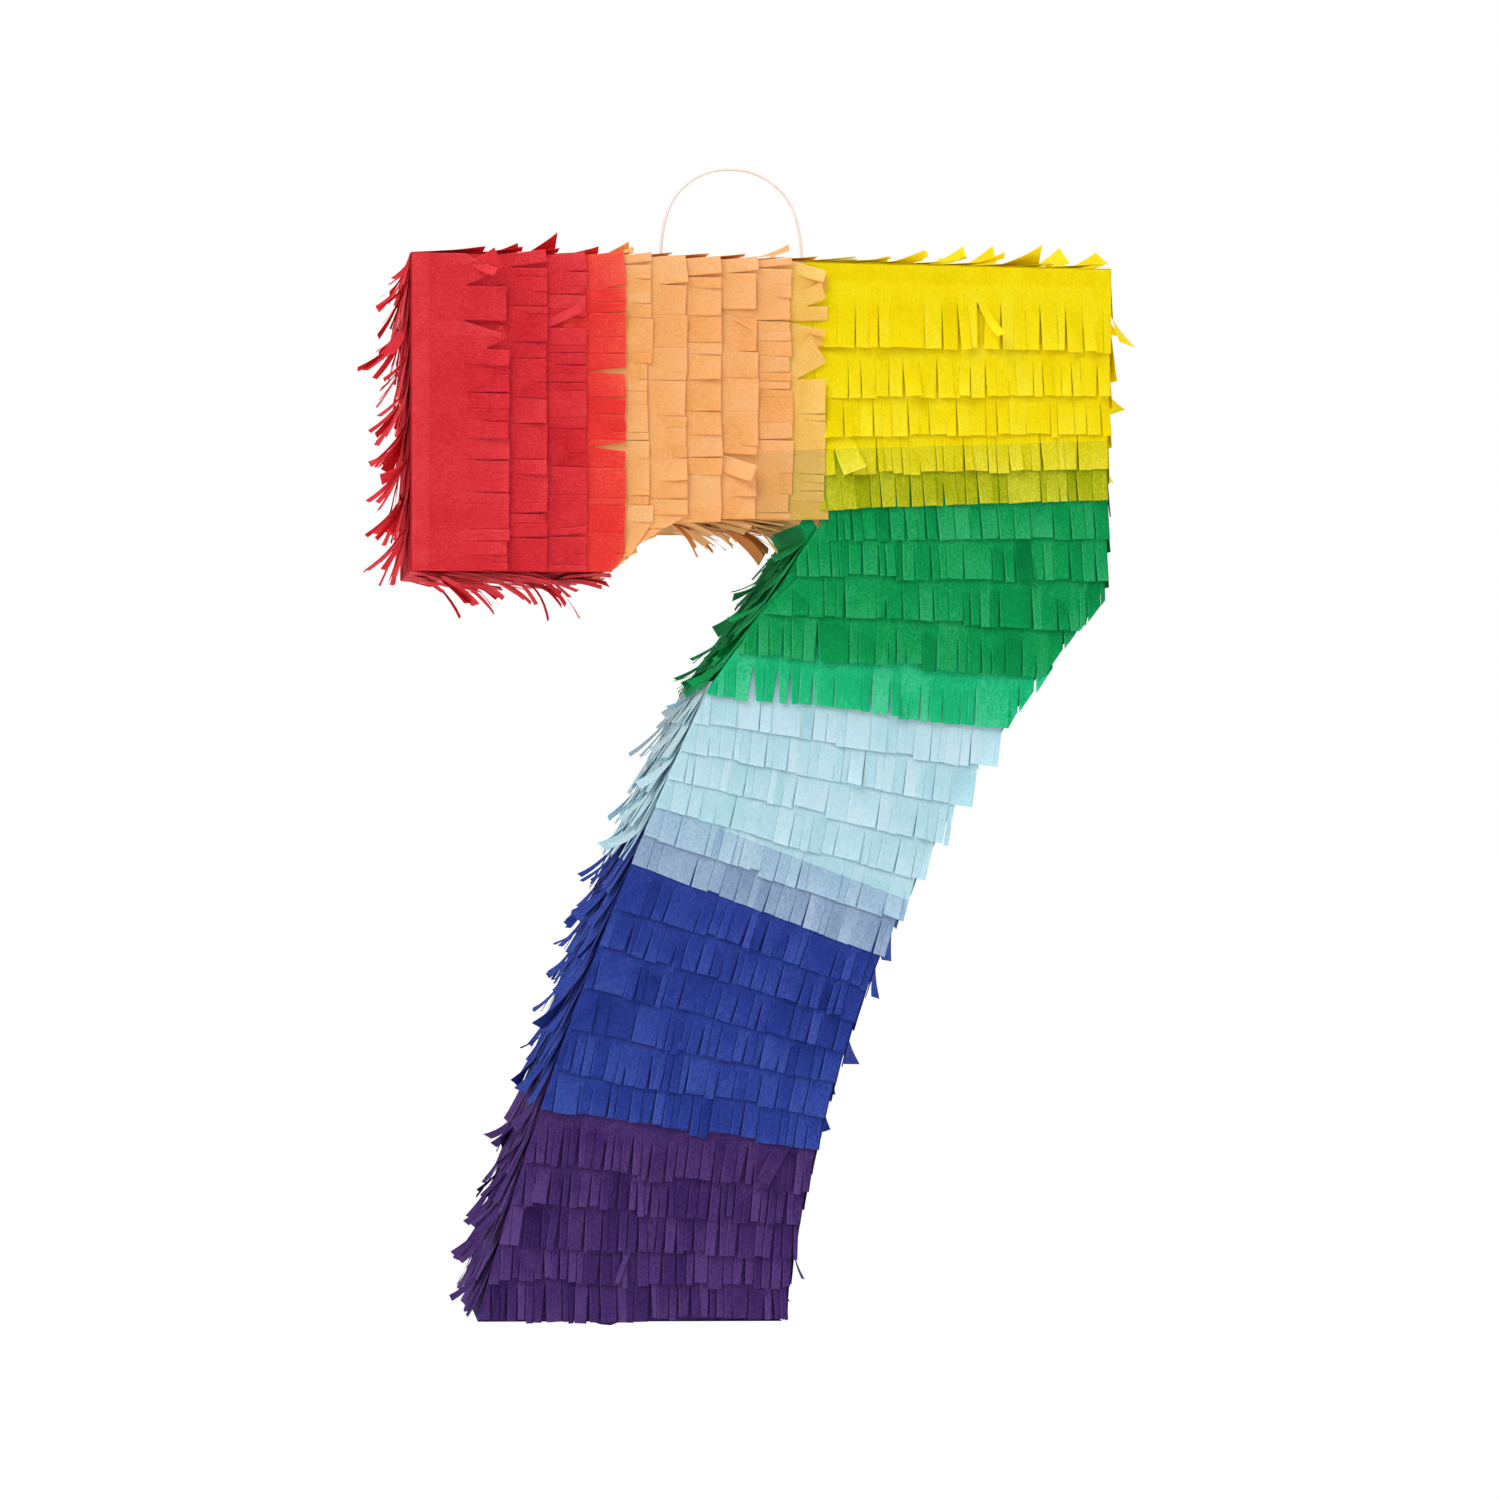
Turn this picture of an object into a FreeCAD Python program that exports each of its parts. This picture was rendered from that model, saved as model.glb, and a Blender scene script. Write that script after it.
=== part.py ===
"""A hanging number-seven pinata: a corrugated-board casing covered with rows of cut tissue fringe.

The casing is a front and a back panel with walls between them. It swings from a clear nylon loop,
and a flap in the back panel opens to fill it. Millimetres, +X to the right, +Y to the back, +Z up.
The origin is the underside of the loop's top, where a hook carries the whole thing.
"""
import FreeCAD, Part
import math
import os

import Sketcher

Vector = FreeCAD.Vector

# Driving sizes. Each goes into a cell of the sheet, whose alias is its name here.
CASE = {
    "case_depth": 76,  # outer face of the front panel to the outer face of the back panel
    "board": 3,  # corrugated board
    "arm_left": -131.7,  # the outer face of the wall at the arm's left end
    "top_z": -41.8,
    "top_right_x": 148,
    "shoulder_x": 145.2,  # where the right wall meets the curved back of the leg
    "shoulder_z": -170,
    "outer_mid_x": 53,  # a point half way down the back of the leg
    "outer_mid_z": -317,
    "foot_right": 14.5,
    "foot_right_z": -459.2,
    "foot_left": -105.6,
    "foot_left_z": -456.8,
    "inner_mid_x": -62.5,  # a point half way up the front of the leg
    "inner_mid_z": -322,
    "knee_x": -16,  # where the front of the leg begins to curl forward
    "knee_z": -213,
    "curl_mid_x": 4.5,
    "curl_mid_z": -184.5,
    "armpit_x": 24.5,  # the inside corner between leg and arm
    "armpit_z": -152,
    "armpit_radius": 8,
    "armpit_inset": 2,  # how far its rounding's middle lies in from the corner, and below the arm
    "armpit_drop": 3,
    "underside_z": -143.9,
    "ramp_top_x": -25,  # the serif's ramp, from the arm's underside down to its flat end
    "ramp_mid_x": -45.4,
    "ramp_mid_z": -154.5,
    "ramp_bulge": 2,
    "serif_right": -63.5,
    "serif_z": -165.2,
}
TISSUE = {
    "tissue": 0.5,  # one fringe row, packed as thick as its crumpled strips
    "glue_gap": 0.12,
    "overlap": 9,  # how far a row's heading reaches up under the row above
    "row_lean": 0.065,  # how far a front row stands out, for each millimetre of its length
    "row_gap": 0.4,  # between the ends of the hanging rows and the last row of the arm
    "side_lean": 0.2,  # the same for the looser rows on the walls
    "top_lean": 0.06,  # and for the ones on the top wall, which lie flatter
    "side_pitch": 15,
    "side_step": 0.5,  # each row on a wall stops this far short of its share of the wall
    "side_half_width": 37,
    "edge_inset": 0.6,
}
LOOP = {
    "line_radius": 0.65,
    "loop_half_span": 29,
    "loop_axis_z": -38.5,  # the line bends here, just above the fringe
    "bend_gap": 0.3,
    "knot_radius": 2.2,
    "patch_length": 86,
    "patch_width": 30,
    "patch": 2,
    "hole_radius": 1,
    "fringe_hole_radius": 2.6,
    "hole_depth": 60,
}
FLAP = {
    "flap_left": 57,
    "flap_right": 121,
    "crease_z": -67,
    "flap_foot_z": -121,
    "flap_cut": 0.5,  # the knife cut around the flap
    "notch_radius": 8,
    "flap_fringe_start": 6,
    "flap_overlap": 6,
    "fringe_window": 2.5,  # how far the panel's own rows keep back from the flap
    "fringe_stand": 10,  # more than any back row stands out
}
# Each colour's rows, in order. The first and last tip lines are given where strips point across the
# arm, as x, and where they hang down it, as z at the leg's front edge and at its back edge. Rows that
# are crowded near the band's beginning have a crowding over 1.
BANDS = {
    "red": {"rows": 4, "first_tip": -94, "end": -48},
    "peach": {"rows": 6, "first_tip": -38, "end": 32},
    "yellow": {"rows": 5, "first_tip": -75.5, "end_front": -140, "end_back": -135, "crowding": 0.85},
    "green": {"rows": 5, "end_front": -213, "end_back": -225.5, "crowding": 1.12},
    "sky": {"rows": 6, "end_front": -279, "end_back": -316.5, "crowding": 1},
    "blue": {"rows": 6, "end_front": -375, "end_back": -392.5, "crowding": 1},
    "purple": {"rows": 5, "end_front": -456, "end_back": -458.4, "crowding": 0.87},
}
LEG_COLOURS = ("green", "sky", "blue", "purple")
BEYOND = 1000  # farther than any edge of the outline

os.makedirs("parts", exist_ok=True)
doc = FreeCAD.newDocument("pinata")
sizes = doc.addObject("Spreadsheet::Sheet", "sizes")
subparts = []


def fill_sheet():
    """One row for each driving size: its name, its value and the alias that expressions use."""
    row = 0
    for group in (CASE, TISSUE, LOOP, FLAP):
        for alias, value in group.items():
            row += 1
            sizes.set(f"A{row}", alias)
            sizes.set(f"B{row}", str(value))
            sizes.setAlias(f"B{row}", alias)
    doc.recompute()


def size(alias):
    return float(sizes.get(alias))


def flat(x, z):
    """A point of the front view."""
    return Vector(x, 0, z)


def new_body(label):
    body = doc.addObject("PartDesign::Body", label)
    body.Label = label
    body.AllowCompound = True
    subparts.append(body)
    return body


def new_sketch(body, role, suffix="profile"):
    """A sketch on one of the body's own origin planes."""
    plane = next(f for f in body.Origin.OriginFeatures if f.Role == role)
    sketch = body.newObject("Sketcher::SketchObject", f"{body.Name}_{suffix}")
    sketch.AttachmentSupport = (plane, [""])
    sketch.MapMode = "FlatFace"
    return sketch


def draw(sketch, curve):
    """Draw one curve in the sketch's own plane, and fix it."""
    sketch.addConstraint(Sketcher.Constraint("Block", sketch.addGeometry(curve, False)))


def trace(sketch, edges):
    """Draw straight and round edges of the front view in a sketch on the XZ plane, and fix them."""
    for edge in edges:
        first, last = edge.FirstParameter, edge.LastParameter
        ends = [edge.valueAt(first), edge.valueAt((first + last) / 2), edge.valueAt(last)]
        start, middle, end = (Vector(p.x, p.z, 0) for p in ends)
        round_edge = isinstance(edge.Curve, Part.Circle)
        draw(sketch, Part.Arc(start, middle, end) if round_edge else Part.LineSegment(start, end))


def draw_polygon(sketch, corners):
    """Draw a closed polygon given as (u, v) pairs in the sketch's own plane, and fix it."""
    points = [Vector(u, v, 0) for u, v in corners]
    for start, end in zip(points, points[1:] + points[:1]):
        draw(sketch, Part.LineSegment(start, end))


def pad(body, sketch, length, midplane=False, backwards=False):
    """Pad a sketch by an expression on the sheet."""
    feature = body.newObject("PartDesign::Pad", f"{sketch.Name}_pad")
    feature.Profile = sketch
    feature.setExpression("Length", length)
    feature.Midplane = midplane
    feature.Reversed = backwards
    sketch.Visibility = False
    return feature


# The casing's outline

def outline_sides():
    """The sides of the seven in clockwise order, each an edge of the front view."""
    top_left = flat(size("arm_left"), size("top_z"))
    top_right = flat(size("top_right_x"), size("top_z"))
    shoulder = flat(size("shoulder_x"), size("shoulder_z"))
    foot_right = flat(size("foot_right"), size("foot_right_z"))
    foot_left = flat(size("foot_left"), size("foot_left_z"))
    knee = flat(size("knee_x"), size("knee_z"))
    armpit = flat(size("armpit_x"), size("armpit_z"))
    armpit_top = flat(size("armpit_x") - size("armpit_radius"), size("underside_z"))
    armpit_mid = flat(size("armpit_x") - size("armpit_inset"), size("underside_z") - size("armpit_drop"))
    ramp_top = flat(size("ramp_top_x"), size("underside_z"))
    ramp_mid = flat(size("ramp_mid_x"), size("ramp_mid_z"))
    serif_right = flat(size("serif_right"), size("serif_z"))
    serif_left = flat(size("arm_left"), size("serif_z"))
    # the ramp is an S of two arcs that share a tangent at its middle
    bulge = flat(size("ramp_bulge"), -size("ramp_bulge"))
    upper_bend = (ramp_top + ramp_mid) * 0.5 - bulge
    lower_bend = (ramp_mid + serif_right) * 0.5 + bulge
    outer_mid = flat(size("outer_mid_x"), size("outer_mid_z"))
    inner_mid = flat(size("inner_mid_x"), size("inner_mid_z"))
    curl_mid = flat(size("curl_mid_x"), size("curl_mid_z"))
    return {
        "top": Part.LineSegment(top_left, top_right).toShape(),
        "right": Part.LineSegment(top_right, shoulder).toShape(),
        "outer": Part.Arc(shoulder, outer_mid, foot_right).toShape(),
        "foot": Part.LineSegment(foot_right, foot_left).toShape(),
        "inner": Part.Arc(foot_left, inner_mid, knee).toShape(),
        "curl": Part.Arc(knee, curl_mid, armpit).toShape(),
        "armpit": Part.Arc(armpit, armpit_mid, armpit_top).toShape(),
        "underside": Part.LineSegment(armpit_top, ramp_top).toShape(),
        "ramp_upper": Part.Arc(ramp_top, upper_bend, ramp_mid).toShape(),
        "ramp_lower": Part.Arc(ramp_mid, lower_bend, serif_right).toShape(),
        "serif": Part.LineSegment(serif_right, serif_left).toShape(),
        "end": Part.LineSegment(serif_left, top_left).toShape(),
    }


def make_panels(sides):
    """The front and back panels, cut to the same outline. The back one has the flap's opening."""
    front = new_body("front_panel")
    profile = new_sketch(front, "XZ_Plane")
    trace(profile, sides.values())
    profile.setExpression("AttachmentOffset.Base.z", "sizes.case_depth / 2 - sizes.board")
    pad(front, profile, "sizes.board")

    back = new_body("back_panel")
    profile = new_sketch(back, "XZ_Plane")
    trace(profile, sides.values())
    profile.setExpression("AttachmentOffset.Base.z", "sizes.board - sizes.case_depth / 2")
    pad(back, profile, "sizes.board", backwards=True)
    opening = new_sketch(back, "XZ_Plane", "opening")
    draw_polygon(opening, flap_corners(size("flap_cut")))
    cut_away(back, opening)


def flap_corners(grow):
    left, right = size("flap_left") - grow, size("flap_right") + grow
    top, foot = size("crease_z") + grow, size("flap_foot_z") - grow
    return [(left, foot), (right, foot), (right, top), (left, top)]


def inner_sides(sides):
    """The same sides, one board's thickness further in."""
    outline = Part.Wire(list(sides.values()))
    inner = outline.makeOffset2D(-size("board"), 2)
    if len(inner.Edges) != len(sides):
        raise ValueError(f"the inner outline has {len(inner.Edges)} sides")
    found = {}
    for name, side in sides.items():
        middle = side.valueAt((side.FirstParameter + side.LastParameter) / 2)
        found[name] = min(inner.Edges, key=lambda edge: edge.distToShape(Part.Vertex(middle))[0])
    return found


def make_wall(label, names, sides, inners):
    """A strip of board between the panels, along the named sides, mitred at its two ends."""
    outer = [sides[name] for name in names]
    inner = [inners[name] for name in names]
    outer_wire, inner_wire = Part.Wire(outer), Part.Wire(inner)
    first, last = loose_ends(outer_wire)
    mitres = []
    for corner in (first, last):
        near = min(loose_ends(inner_wire), key=lambda point: (point - corner).Length)
        mitres.append(Part.LineSegment(corner, near).toShape())
    body = new_body(label)
    profile = new_sketch(body, "XZ_Plane")
    trace(profile, outer + inner + mitres)
    pad(body, profile, "sizes.case_depth - 2 * sizes.board", midplane=True)
    return body


def loose_ends(wire):
    """The two end points of an open chain of edges."""
    ordered = wire.OrderedVertexes
    return ordered[0].Point, ordered[-1].Point


WALLS = {
    "top_wall": ["top"],
    "right_wall": ["right"],
    "leg_outer_wall": ["outer"],
    "foot_wall": ["foot"],
    "leg_inner_wall": ["inner", "curl"],
    "arm_underside_wall": ["armpit", "underside", "ramp_upper", "ramp_lower", "serif"],
    "end_wall": ["end"],
}


# The tissue fringe

def chord(face, start, end):
    """Where a line crosses the outline: the ends of its pieces inside, from start towards end."""
    inside = face.common(Part.LineSegment(start, end).toShape())
    pieces = [sorted((edge.Vertexes[0].Point, edge.Vertexes[-1].Point), key=lambda p: (p - start).Length)
              for edge in inside.Edges]
    return sorted(pieces, key=lambda piece: (piece[0] - start).Length)


def across_line(face, x):
    """The upper and lower ends of an upright line across the arm."""
    piece = chord(face, flat(x, 0), flat(x, -BEYOND))[0]
    lowest = size("serif_z") if x < size("ramp_top_x") else size("underside_z")
    return piece[0], flat(x, max(piece[1].z, lowest))


def hanging_line(face, front_z, back_z):
    """The ends of a line across the leg, from its front edge's height to its back edge's height."""
    front = chord(face, flat(BEYOND, front_z), flat(-BEYOND, front_z))[0][1]
    back = chord(face, flat(BEYOND, back_z), flat(-BEYOND, back_z))[0][0]
    limit = front_limit(front_z)
    return flat(max(front.x, limit), front_z), back


def front_limit(z):
    """Above the armpit a hanging row ends at the peach rows, and on the leg at the leg's own edge."""
    at_arm = z > size("armpit_z") - size("armpit_radius")
    return BANDS["peach"]["end"] + size("row_gap") if at_arm else -BEYOND


def spaced(first, last, count, crowding=1):
    """Tip lines from after first to last."""
    return [first + (last - first) * ((step + 1) / count) ** crowding for step in range(count)]


def row_corners(face):
    """Each row's four corners in the front view: the two ends of its heading, then of its tips."""
    rows = {}
    overlap = size("overlap")
    inset = size("edge_inset")
    before = size("arm_left") + inset
    for colour in ("red", "peach"):
        band = BANDS[colour]
        tips = [band["first_tip"]] + spaced(band["first_tip"], band["end"], band["rows"] - 1)
        for index, tip in enumerate(tips):
            first = colour == "red" and index == 0
            heading = before if first else before - overlap
            rows[f"{colour}_front_row_{index + 1}"] = (*across_line(face, heading), *across_line(face, tip))
            before = tip
    front = back = size("top_z") - inset
    for colour in ("yellow",) + LEG_COLOURS:
        band = BANDS[colour]
        count = band["rows"]
        first = [band["first_tip"]] if colour == "yellow" else []
        start_front, start_back = (first or [front])[0], (first or [back])[0]
        left = count - len(first)
        fronts = first + spaced(start_front, band["end_front"], left, band["crowding"])
        backs = first + spaced(start_back, band["end_back"], left, band["crowding"])
        for index, (front_tip, back_tip) in enumerate(zip(fronts, backs)):
            lift = 0 if colour == "yellow" and index == 0 else overlap
            heading = hanging_line(face, front + lift, back + lift)
            tips = hanging_line(face, front_tip, back_tip)
            rows[f"{colour}_front_row_{index + 1}"] = (*heading, *tips)
            front, back = front_tip, back_tip
    return rows


def lay_row(body, name, corners, behind=False):
    """A thin slab on a panel from its heading to its tips, which stand a little further out."""
    heading_start, heading_end, tip_start, tip_end = corners
    run = (heading_end - heading_start).normalize()
    falls = (tip_start + tip_end - heading_start - heading_end) * 0.5
    up = (run * run.dot(falls) - falls).normalize()
    side = Vector(0, 1 if behind else -1, 0)
    along = up.cross(side)
    lean = math.atan(size("row_lean"))
    leaning_up = up * math.cos(lean) - side * math.sin(lean)
    out = along.cross(leaning_up)
    middle = (heading_start + heading_end) * 0.5
    stand = size("case_depth") / 2 + size("glue_gap")
    placement = FreeCAD.Placement(middle + side * stand, FreeCAD.Rotation(along, leaning_up, out, "ZXY"))
    xz_plane = FreeCAD.Placement(Vector(), FreeCAD.Rotation(Vector(1, 0, 0), 90))
    sketch = new_sketch(body, "XZ_Plane", name)
    sketch.AttachmentOffset = xz_plane.inverse().multiply(placement)
    local = []
    for corner in (heading_start, heading_end, tip_end, tip_start):
        away = corner - middle
        local.append((away.dot(along), away.dot(up) / math.cos(lean)))
    draw_polygon(sketch, local)
    return pad(body, sketch, "sizes.tissue")


# Which way each side's strips fall: 1 along the clockwise outline, -1 against it.
FALLS = {
    "top": 1, "right": 1, "outer": 1, "inner": -1, "curl": -1, "underside": -1,
    "ramp_upper": -1, "ramp_lower": -1, "serif": -1, "end": -1,
}


def colour_at(name, point):
    """The colour of the band that a point of the outline lies in."""
    if name in ("top", "underside", "ramp_upper", "ramp_lower", "serif", "end"):
        if name == "end" or point.x <= BANDS["red"]["end"] + 1:
            return "red"
        return "peach" if point.x <= BANDS["peach"]["end"] + 1 else "yellow"
    edge = "end_back" if name in ("right", "outer") else "end_front"
    for colour in ("yellow",) + LEG_COLOURS:
        if point.z >= BANDS[colour][edge] - 1:
            return colour
    return "purple"


def wall_rows(sides):
    """The rows on the walls, as front-view polygons sorted by colour."""
    found = {colour: [] for colour in BANDS}
    gap, tissue, short = size("glue_gap"), size("tissue"), size("side_step")
    for name, way in FALLS.items():
        side = sides[name]
        length = side.Length
        count = math.ceil(length / size("side_pitch"))
        pitch = length / count
        # a wall with few rows is too short for them to overlap
        reach = pitch + size("overlap") if count > 3 else pitch
        lean = size("top_lean" if name == "top" else "side_lean")

        def stand(travelled):
            measure = travelled if way > 0 else length - travelled
            at = side.getParameterByLength(min(max(measure, 0), length))
            forward = side.tangentAt(at)
            return side.valueAt(at), Vector(-forward.z, 0, forward.x)

        for step in range(count):
            tip_at = (step + 1) * pitch - short
            heading_at = max(tip_at - reach, short)
            heading, heading_out = stand(heading_at)
            tip, tip_out = stand(tip_at)
            rise = lean * (tip_at - heading_at)
            corners = [
                heading + heading_out * gap,
                tip + tip_out * (gap + rise),
                tip + tip_out * (gap + rise + tissue),
                heading + heading_out * (gap + tissue),
            ]
            found[colour_at(name, tip)].append([(corner.x, corner.z) for corner in corners])
    return found


def make_fringe(sides, face):
    """Every front row as its own piece, and each colour's rows on the walls and the back as one."""
    rows = row_corners(face)
    for name, corners in rows.items():
        lay_row(new_body(name), "profile", corners)
    around = wall_rows(sides)
    for colour in BANDS:
        body = new_body(f"{colour}_side_and_back_fringe")
        for index, polygon in enumerate(around[colour]):
            sketch = new_sketch(body, "XZ_Plane", f"side{index + 1}")
            draw_polygon(sketch, polygon)
            pad(body, sketch, "2 * sizes.side_half_width", midplane=True)
        if colour == "purple":
            make_foot_cover(body)
        for name, corners in rows.items():
            if name.startswith(colour):
                lay_row(body, name.replace("front", "back"), corners, behind=True)
        if colour in ("peach", "yellow"):
            line_holes(body, size("fringe_hole_radius"), "sizes.hole_depth")
        if colour == "yellow":
            clear_flap(body)


def make_foot_cover(body):
    """The tissue over the underside of the foot."""
    corners = []
    for drop, ends in ((0, ("foot_left", "foot_right")), (size("tissue"), ("foot_right", "foot_left"))):
        for end in ends:
            corners.append((size(end), size(f"{end}_z") - size("glue_gap") - drop))
    sketch = new_sketch(body, "XZ_Plane", "foot_cover")
    draw_polygon(sketch, corners)
    pad(body, sketch, "2 * sizes.side_half_width", midplane=True)


def cut_away(body, sketch, depth=None):
    """Pocket a sketch, by a depth or right through, and make sure that it took something away."""
    doc.recompute()
    whole = body.Shape.Volume
    pocket = body.newObject("PartDesign::Pocket", f"{sketch.Name}_pocket")
    pocket.Profile = sketch
    if depth is None:
        pocket.Type = "ThroughAll"
        pocket.Midplane = True
    else:
        pocket.setExpression("Length", depth)
    sketch.Visibility = False
    doc.recompute()
    if not 1 < whole - body.Shape.Volume < whole:
        raise ValueError(f"{pocket.Name} cut {whole - body.Shape.Volume:.2f} mm3")


def line_holes(body, radius, depth=None):
    """Two round holes for the nylon line, down from above."""
    holes = new_sketch(body, "XY_Plane", "line_holes")
    for x in (-size("loop_half_span"), size("loop_half_span")):
        index = holes.addGeometry(Part.Circle(Vector(x, 0, 0), Vector(0, 0, 1), radius), False)
        holes.addConstraint(Sketcher.Constraint("Block", index))
    cut_away(body, holes, depth)


def clear_flap(body):
    """The panel's own rows stop short of the flap."""
    window = new_sketch(body, "XZ_Plane", "flap_window")
    draw_polygon(window, flap_corners(size("fringe_window")))
    window.setExpression("AttachmentOffset.Base.z", "-sizes.case_depth / 2")
    cut_away(body, window, "sizes.fringe_stand")


# The filling flap and the hanging loop

def make_flap():
    """The flap, with a thumb notch in its lower edge, and three rows of its own."""
    flap = new_body("fill_flap")
    profile = new_sketch(flap, "XZ_Plane")
    draw_polygon(profile, flap_corners(0))
    profile.setExpression("AttachmentOffset.Base.z", "sizes.board - sizes.case_depth / 2")
    pad(flap, profile, "sizes.board", backwards=True)
    notch = new_sketch(flap, "XZ_Plane", "notch")
    middle = Vector((size("flap_left") + size("flap_right")) / 2, size("flap_foot_z"), 0)
    draw(notch, Part.Circle(middle, Vector(0, 0, 1), size("notch_radius")))
    cut_away(flap, notch)

    fringe = new_body("flap_fringe")
    left, right = size("flap_left"), size("flap_right")
    start = size("crease_z") - size("flap_fringe_start")
    before = start
    for step, tip in enumerate(spaced(start, size("flap_foot_z"), 3)):
        heading = before + size("flap_overlap") * (step > 0)
        corners = flat(left, heading), flat(right, heading), flat(left, tip), flat(right, tip)
        lay_row(fringe, f"row{step + 1}", corners, behind=True)
        before = tip


def make_loop():
    """The nylon line: two straight feet and a half circle between them."""
    body = new_body("hang_loop")
    span, foot = size("loop_half_span"), size("loop_axis_z")
    crown = size("line_radius") - span
    spine = new_sketch(body, "XZ_Plane", "spine")
    top = Vector(0, crown + span, 0)
    draw(spine, Part.LineSegment(Vector(-span, foot, 0), Vector(-span, crown, 0)))
    draw(spine, Part.Arc(Vector(-span, crown, 0), top, Vector(span, crown, 0)))
    draw(spine, Part.LineSegment(Vector(span, crown, 0), Vector(span, foot, 0)))
    section = new_sketch(body, "XY_Plane", "section")
    draw(section, Part.Circle(Vector(-span, 0, 0), Vector(0, 0, 1), size("line_radius")))
    section.setExpression("AttachmentOffset.Base.z", "sizes.loop_axis_z")
    doc.recompute()
    pipe = body.newObject("PartDesign::AdditivePipe", "hang_loop_pipe")
    pipe.Profile = section
    pipe.Spine = (spine, [f"Edge{index + 1}" for index in range(3)])
    spine.Visibility = False
    section.Visibility = False
    doc.recompute()
    length = math.pi * span + 2 * (crown - foot)
    expected = length * math.pi * size("line_radius") ** 2
    if abs(body.Shape.Volume / expected - 1) > 0.01:
        raise ValueError(f"the loop holds {body.Shape.Volume:.2f} mm3, not {expected:.2f}")
    print(f"loop: {length:.1f} mm of line between its two bends, arch radius {span} mm")


def make_patch(sides):
    """A stiffening patch glued under the top wall, where the line's knots pull."""
    top = sides["top"]
    start, end = top.Vertexes[0].Point, top.Vertexes[-1].Point
    along = (end - start).normalize()
    inwards = Vector(along.z, 0, -along.x)
    middle = start - along * (start.x / along.x)
    reach = along * size("patch_length") * 0.5
    corners = []
    for depth, way in ((0, -1), (0, 1), (size("patch"), 1), (size("patch"), -1)):
        corner = middle + inwards * (size("board") + depth) + reach * way
        corners.append((corner.x, corner.z))
    body = new_body("loop_patch")
    profile = new_sketch(body, "XZ_Plane")
    draw_polygon(profile, corners)
    pad(body, profile, "sizes.patch_width", midplane=True)
    line_holes(body, size("hole_radius"))
    return inwards, middle, along


def make_line_end(label, x, underside):
    """The line's end below its bend: straight through the board and patch to a knot."""
    knot_z = f"({underside:.3f} - sizes.glue_gap - sizes.knot_radius)"
    ball = doc.addObject("Part::Sphere", f"{label}_knot")
    ball.setExpression("Radius", "sizes.knot_radius")
    line = doc.addObject("Part::Cylinder", f"{label}_line")
    line.setExpression("Radius", "sizes.line_radius")
    line.setExpression("Height", f"sizes.loop_axis_z - sizes.line_radius - sizes.bend_gap - {knot_z}")
    for piece in (ball, line):
        piece.setExpression("Placement.Base.x", x)
        piece.setExpression("Placement.Base.z", knot_z)
    joined = doc.addObject("Part::Fuse", label)
    joined.Base, joined.Tool = ball, line
    joined.Label = label
    subparts.append(joined)


def check_and_export():
    """Stop on any failed feature or bad shape, then write one file for each sub-part."""
    doc.recompute()
    for thing in doc.Objects:
        if "Invalid" in thing.State or "Error" in thing.State:
            raise ValueError(f"{thing.Name} is {thing.State}")
    for part in subparts:
        shape = part.Shape
        if shape.isNull() or not shape.isValid() or shape.Volume <= 0:
            raise ValueError(f"{part.Label} has no valid shape")
    for part in subparts:
        part.Shape.exportStep(f"parts/{part.Label}.step")
        print(f"{part.Label}: {len(part.Shape.Solids)} solids, {part.Shape.Volume / 1000:.2f} cm3")


def main():
    fill_sheet()
    sides = outline_sides()
    face = Part.Face(Part.Wire(list(sides.values())))
    inners = inner_sides(sides)
    make_panels(sides)
    walls = {label: make_wall(label, names, sides, inners) for label, names in WALLS.items()}
    line_holes(walls["top_wall"], size("hole_radius"))
    inwards, middle, along = make_patch(sides)
    for label, way in (("left_line_end", -1), ("right_line_end", 1)):
        x = way * size("loop_half_span")
        underside = (middle + along * (x / along.x) + inwards * (size("board") + size("patch"))).z
        make_line_end(label, f"{way} * sizes.loop_half_span", underside)
    make_flap()
    make_loop()
    make_fringe(sides, face)
    check_and_export()


main()
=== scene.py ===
"""Looks of the number seven pinata: tissue fringe, boards and hanging loop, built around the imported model."""

import math
import random
from collections import namedtuple

import bmesh
import bpy
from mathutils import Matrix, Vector, noise


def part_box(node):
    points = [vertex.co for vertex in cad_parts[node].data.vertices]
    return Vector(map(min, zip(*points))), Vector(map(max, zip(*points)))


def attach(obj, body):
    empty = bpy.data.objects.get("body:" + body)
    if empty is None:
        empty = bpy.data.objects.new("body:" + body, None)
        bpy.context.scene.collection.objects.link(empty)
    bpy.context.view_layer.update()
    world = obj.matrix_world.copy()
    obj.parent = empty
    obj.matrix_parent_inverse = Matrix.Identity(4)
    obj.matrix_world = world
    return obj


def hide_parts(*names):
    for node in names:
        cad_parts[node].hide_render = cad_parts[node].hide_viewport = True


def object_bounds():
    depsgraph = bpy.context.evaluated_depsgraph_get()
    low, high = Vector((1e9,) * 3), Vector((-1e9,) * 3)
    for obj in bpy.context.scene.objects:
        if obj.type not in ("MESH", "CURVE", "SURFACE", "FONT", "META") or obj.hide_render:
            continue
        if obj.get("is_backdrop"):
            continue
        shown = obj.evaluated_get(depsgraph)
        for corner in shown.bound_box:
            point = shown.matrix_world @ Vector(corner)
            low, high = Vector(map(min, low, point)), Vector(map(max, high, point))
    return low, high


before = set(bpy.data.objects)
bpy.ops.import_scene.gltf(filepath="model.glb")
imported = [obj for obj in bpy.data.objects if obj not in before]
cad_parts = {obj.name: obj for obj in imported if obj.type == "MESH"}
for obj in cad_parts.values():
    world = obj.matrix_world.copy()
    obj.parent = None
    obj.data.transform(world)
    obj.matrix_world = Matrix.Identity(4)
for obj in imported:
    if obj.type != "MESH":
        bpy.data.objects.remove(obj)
CAD_LOW, CAD_HIGH = (list(corner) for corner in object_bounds())

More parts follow.
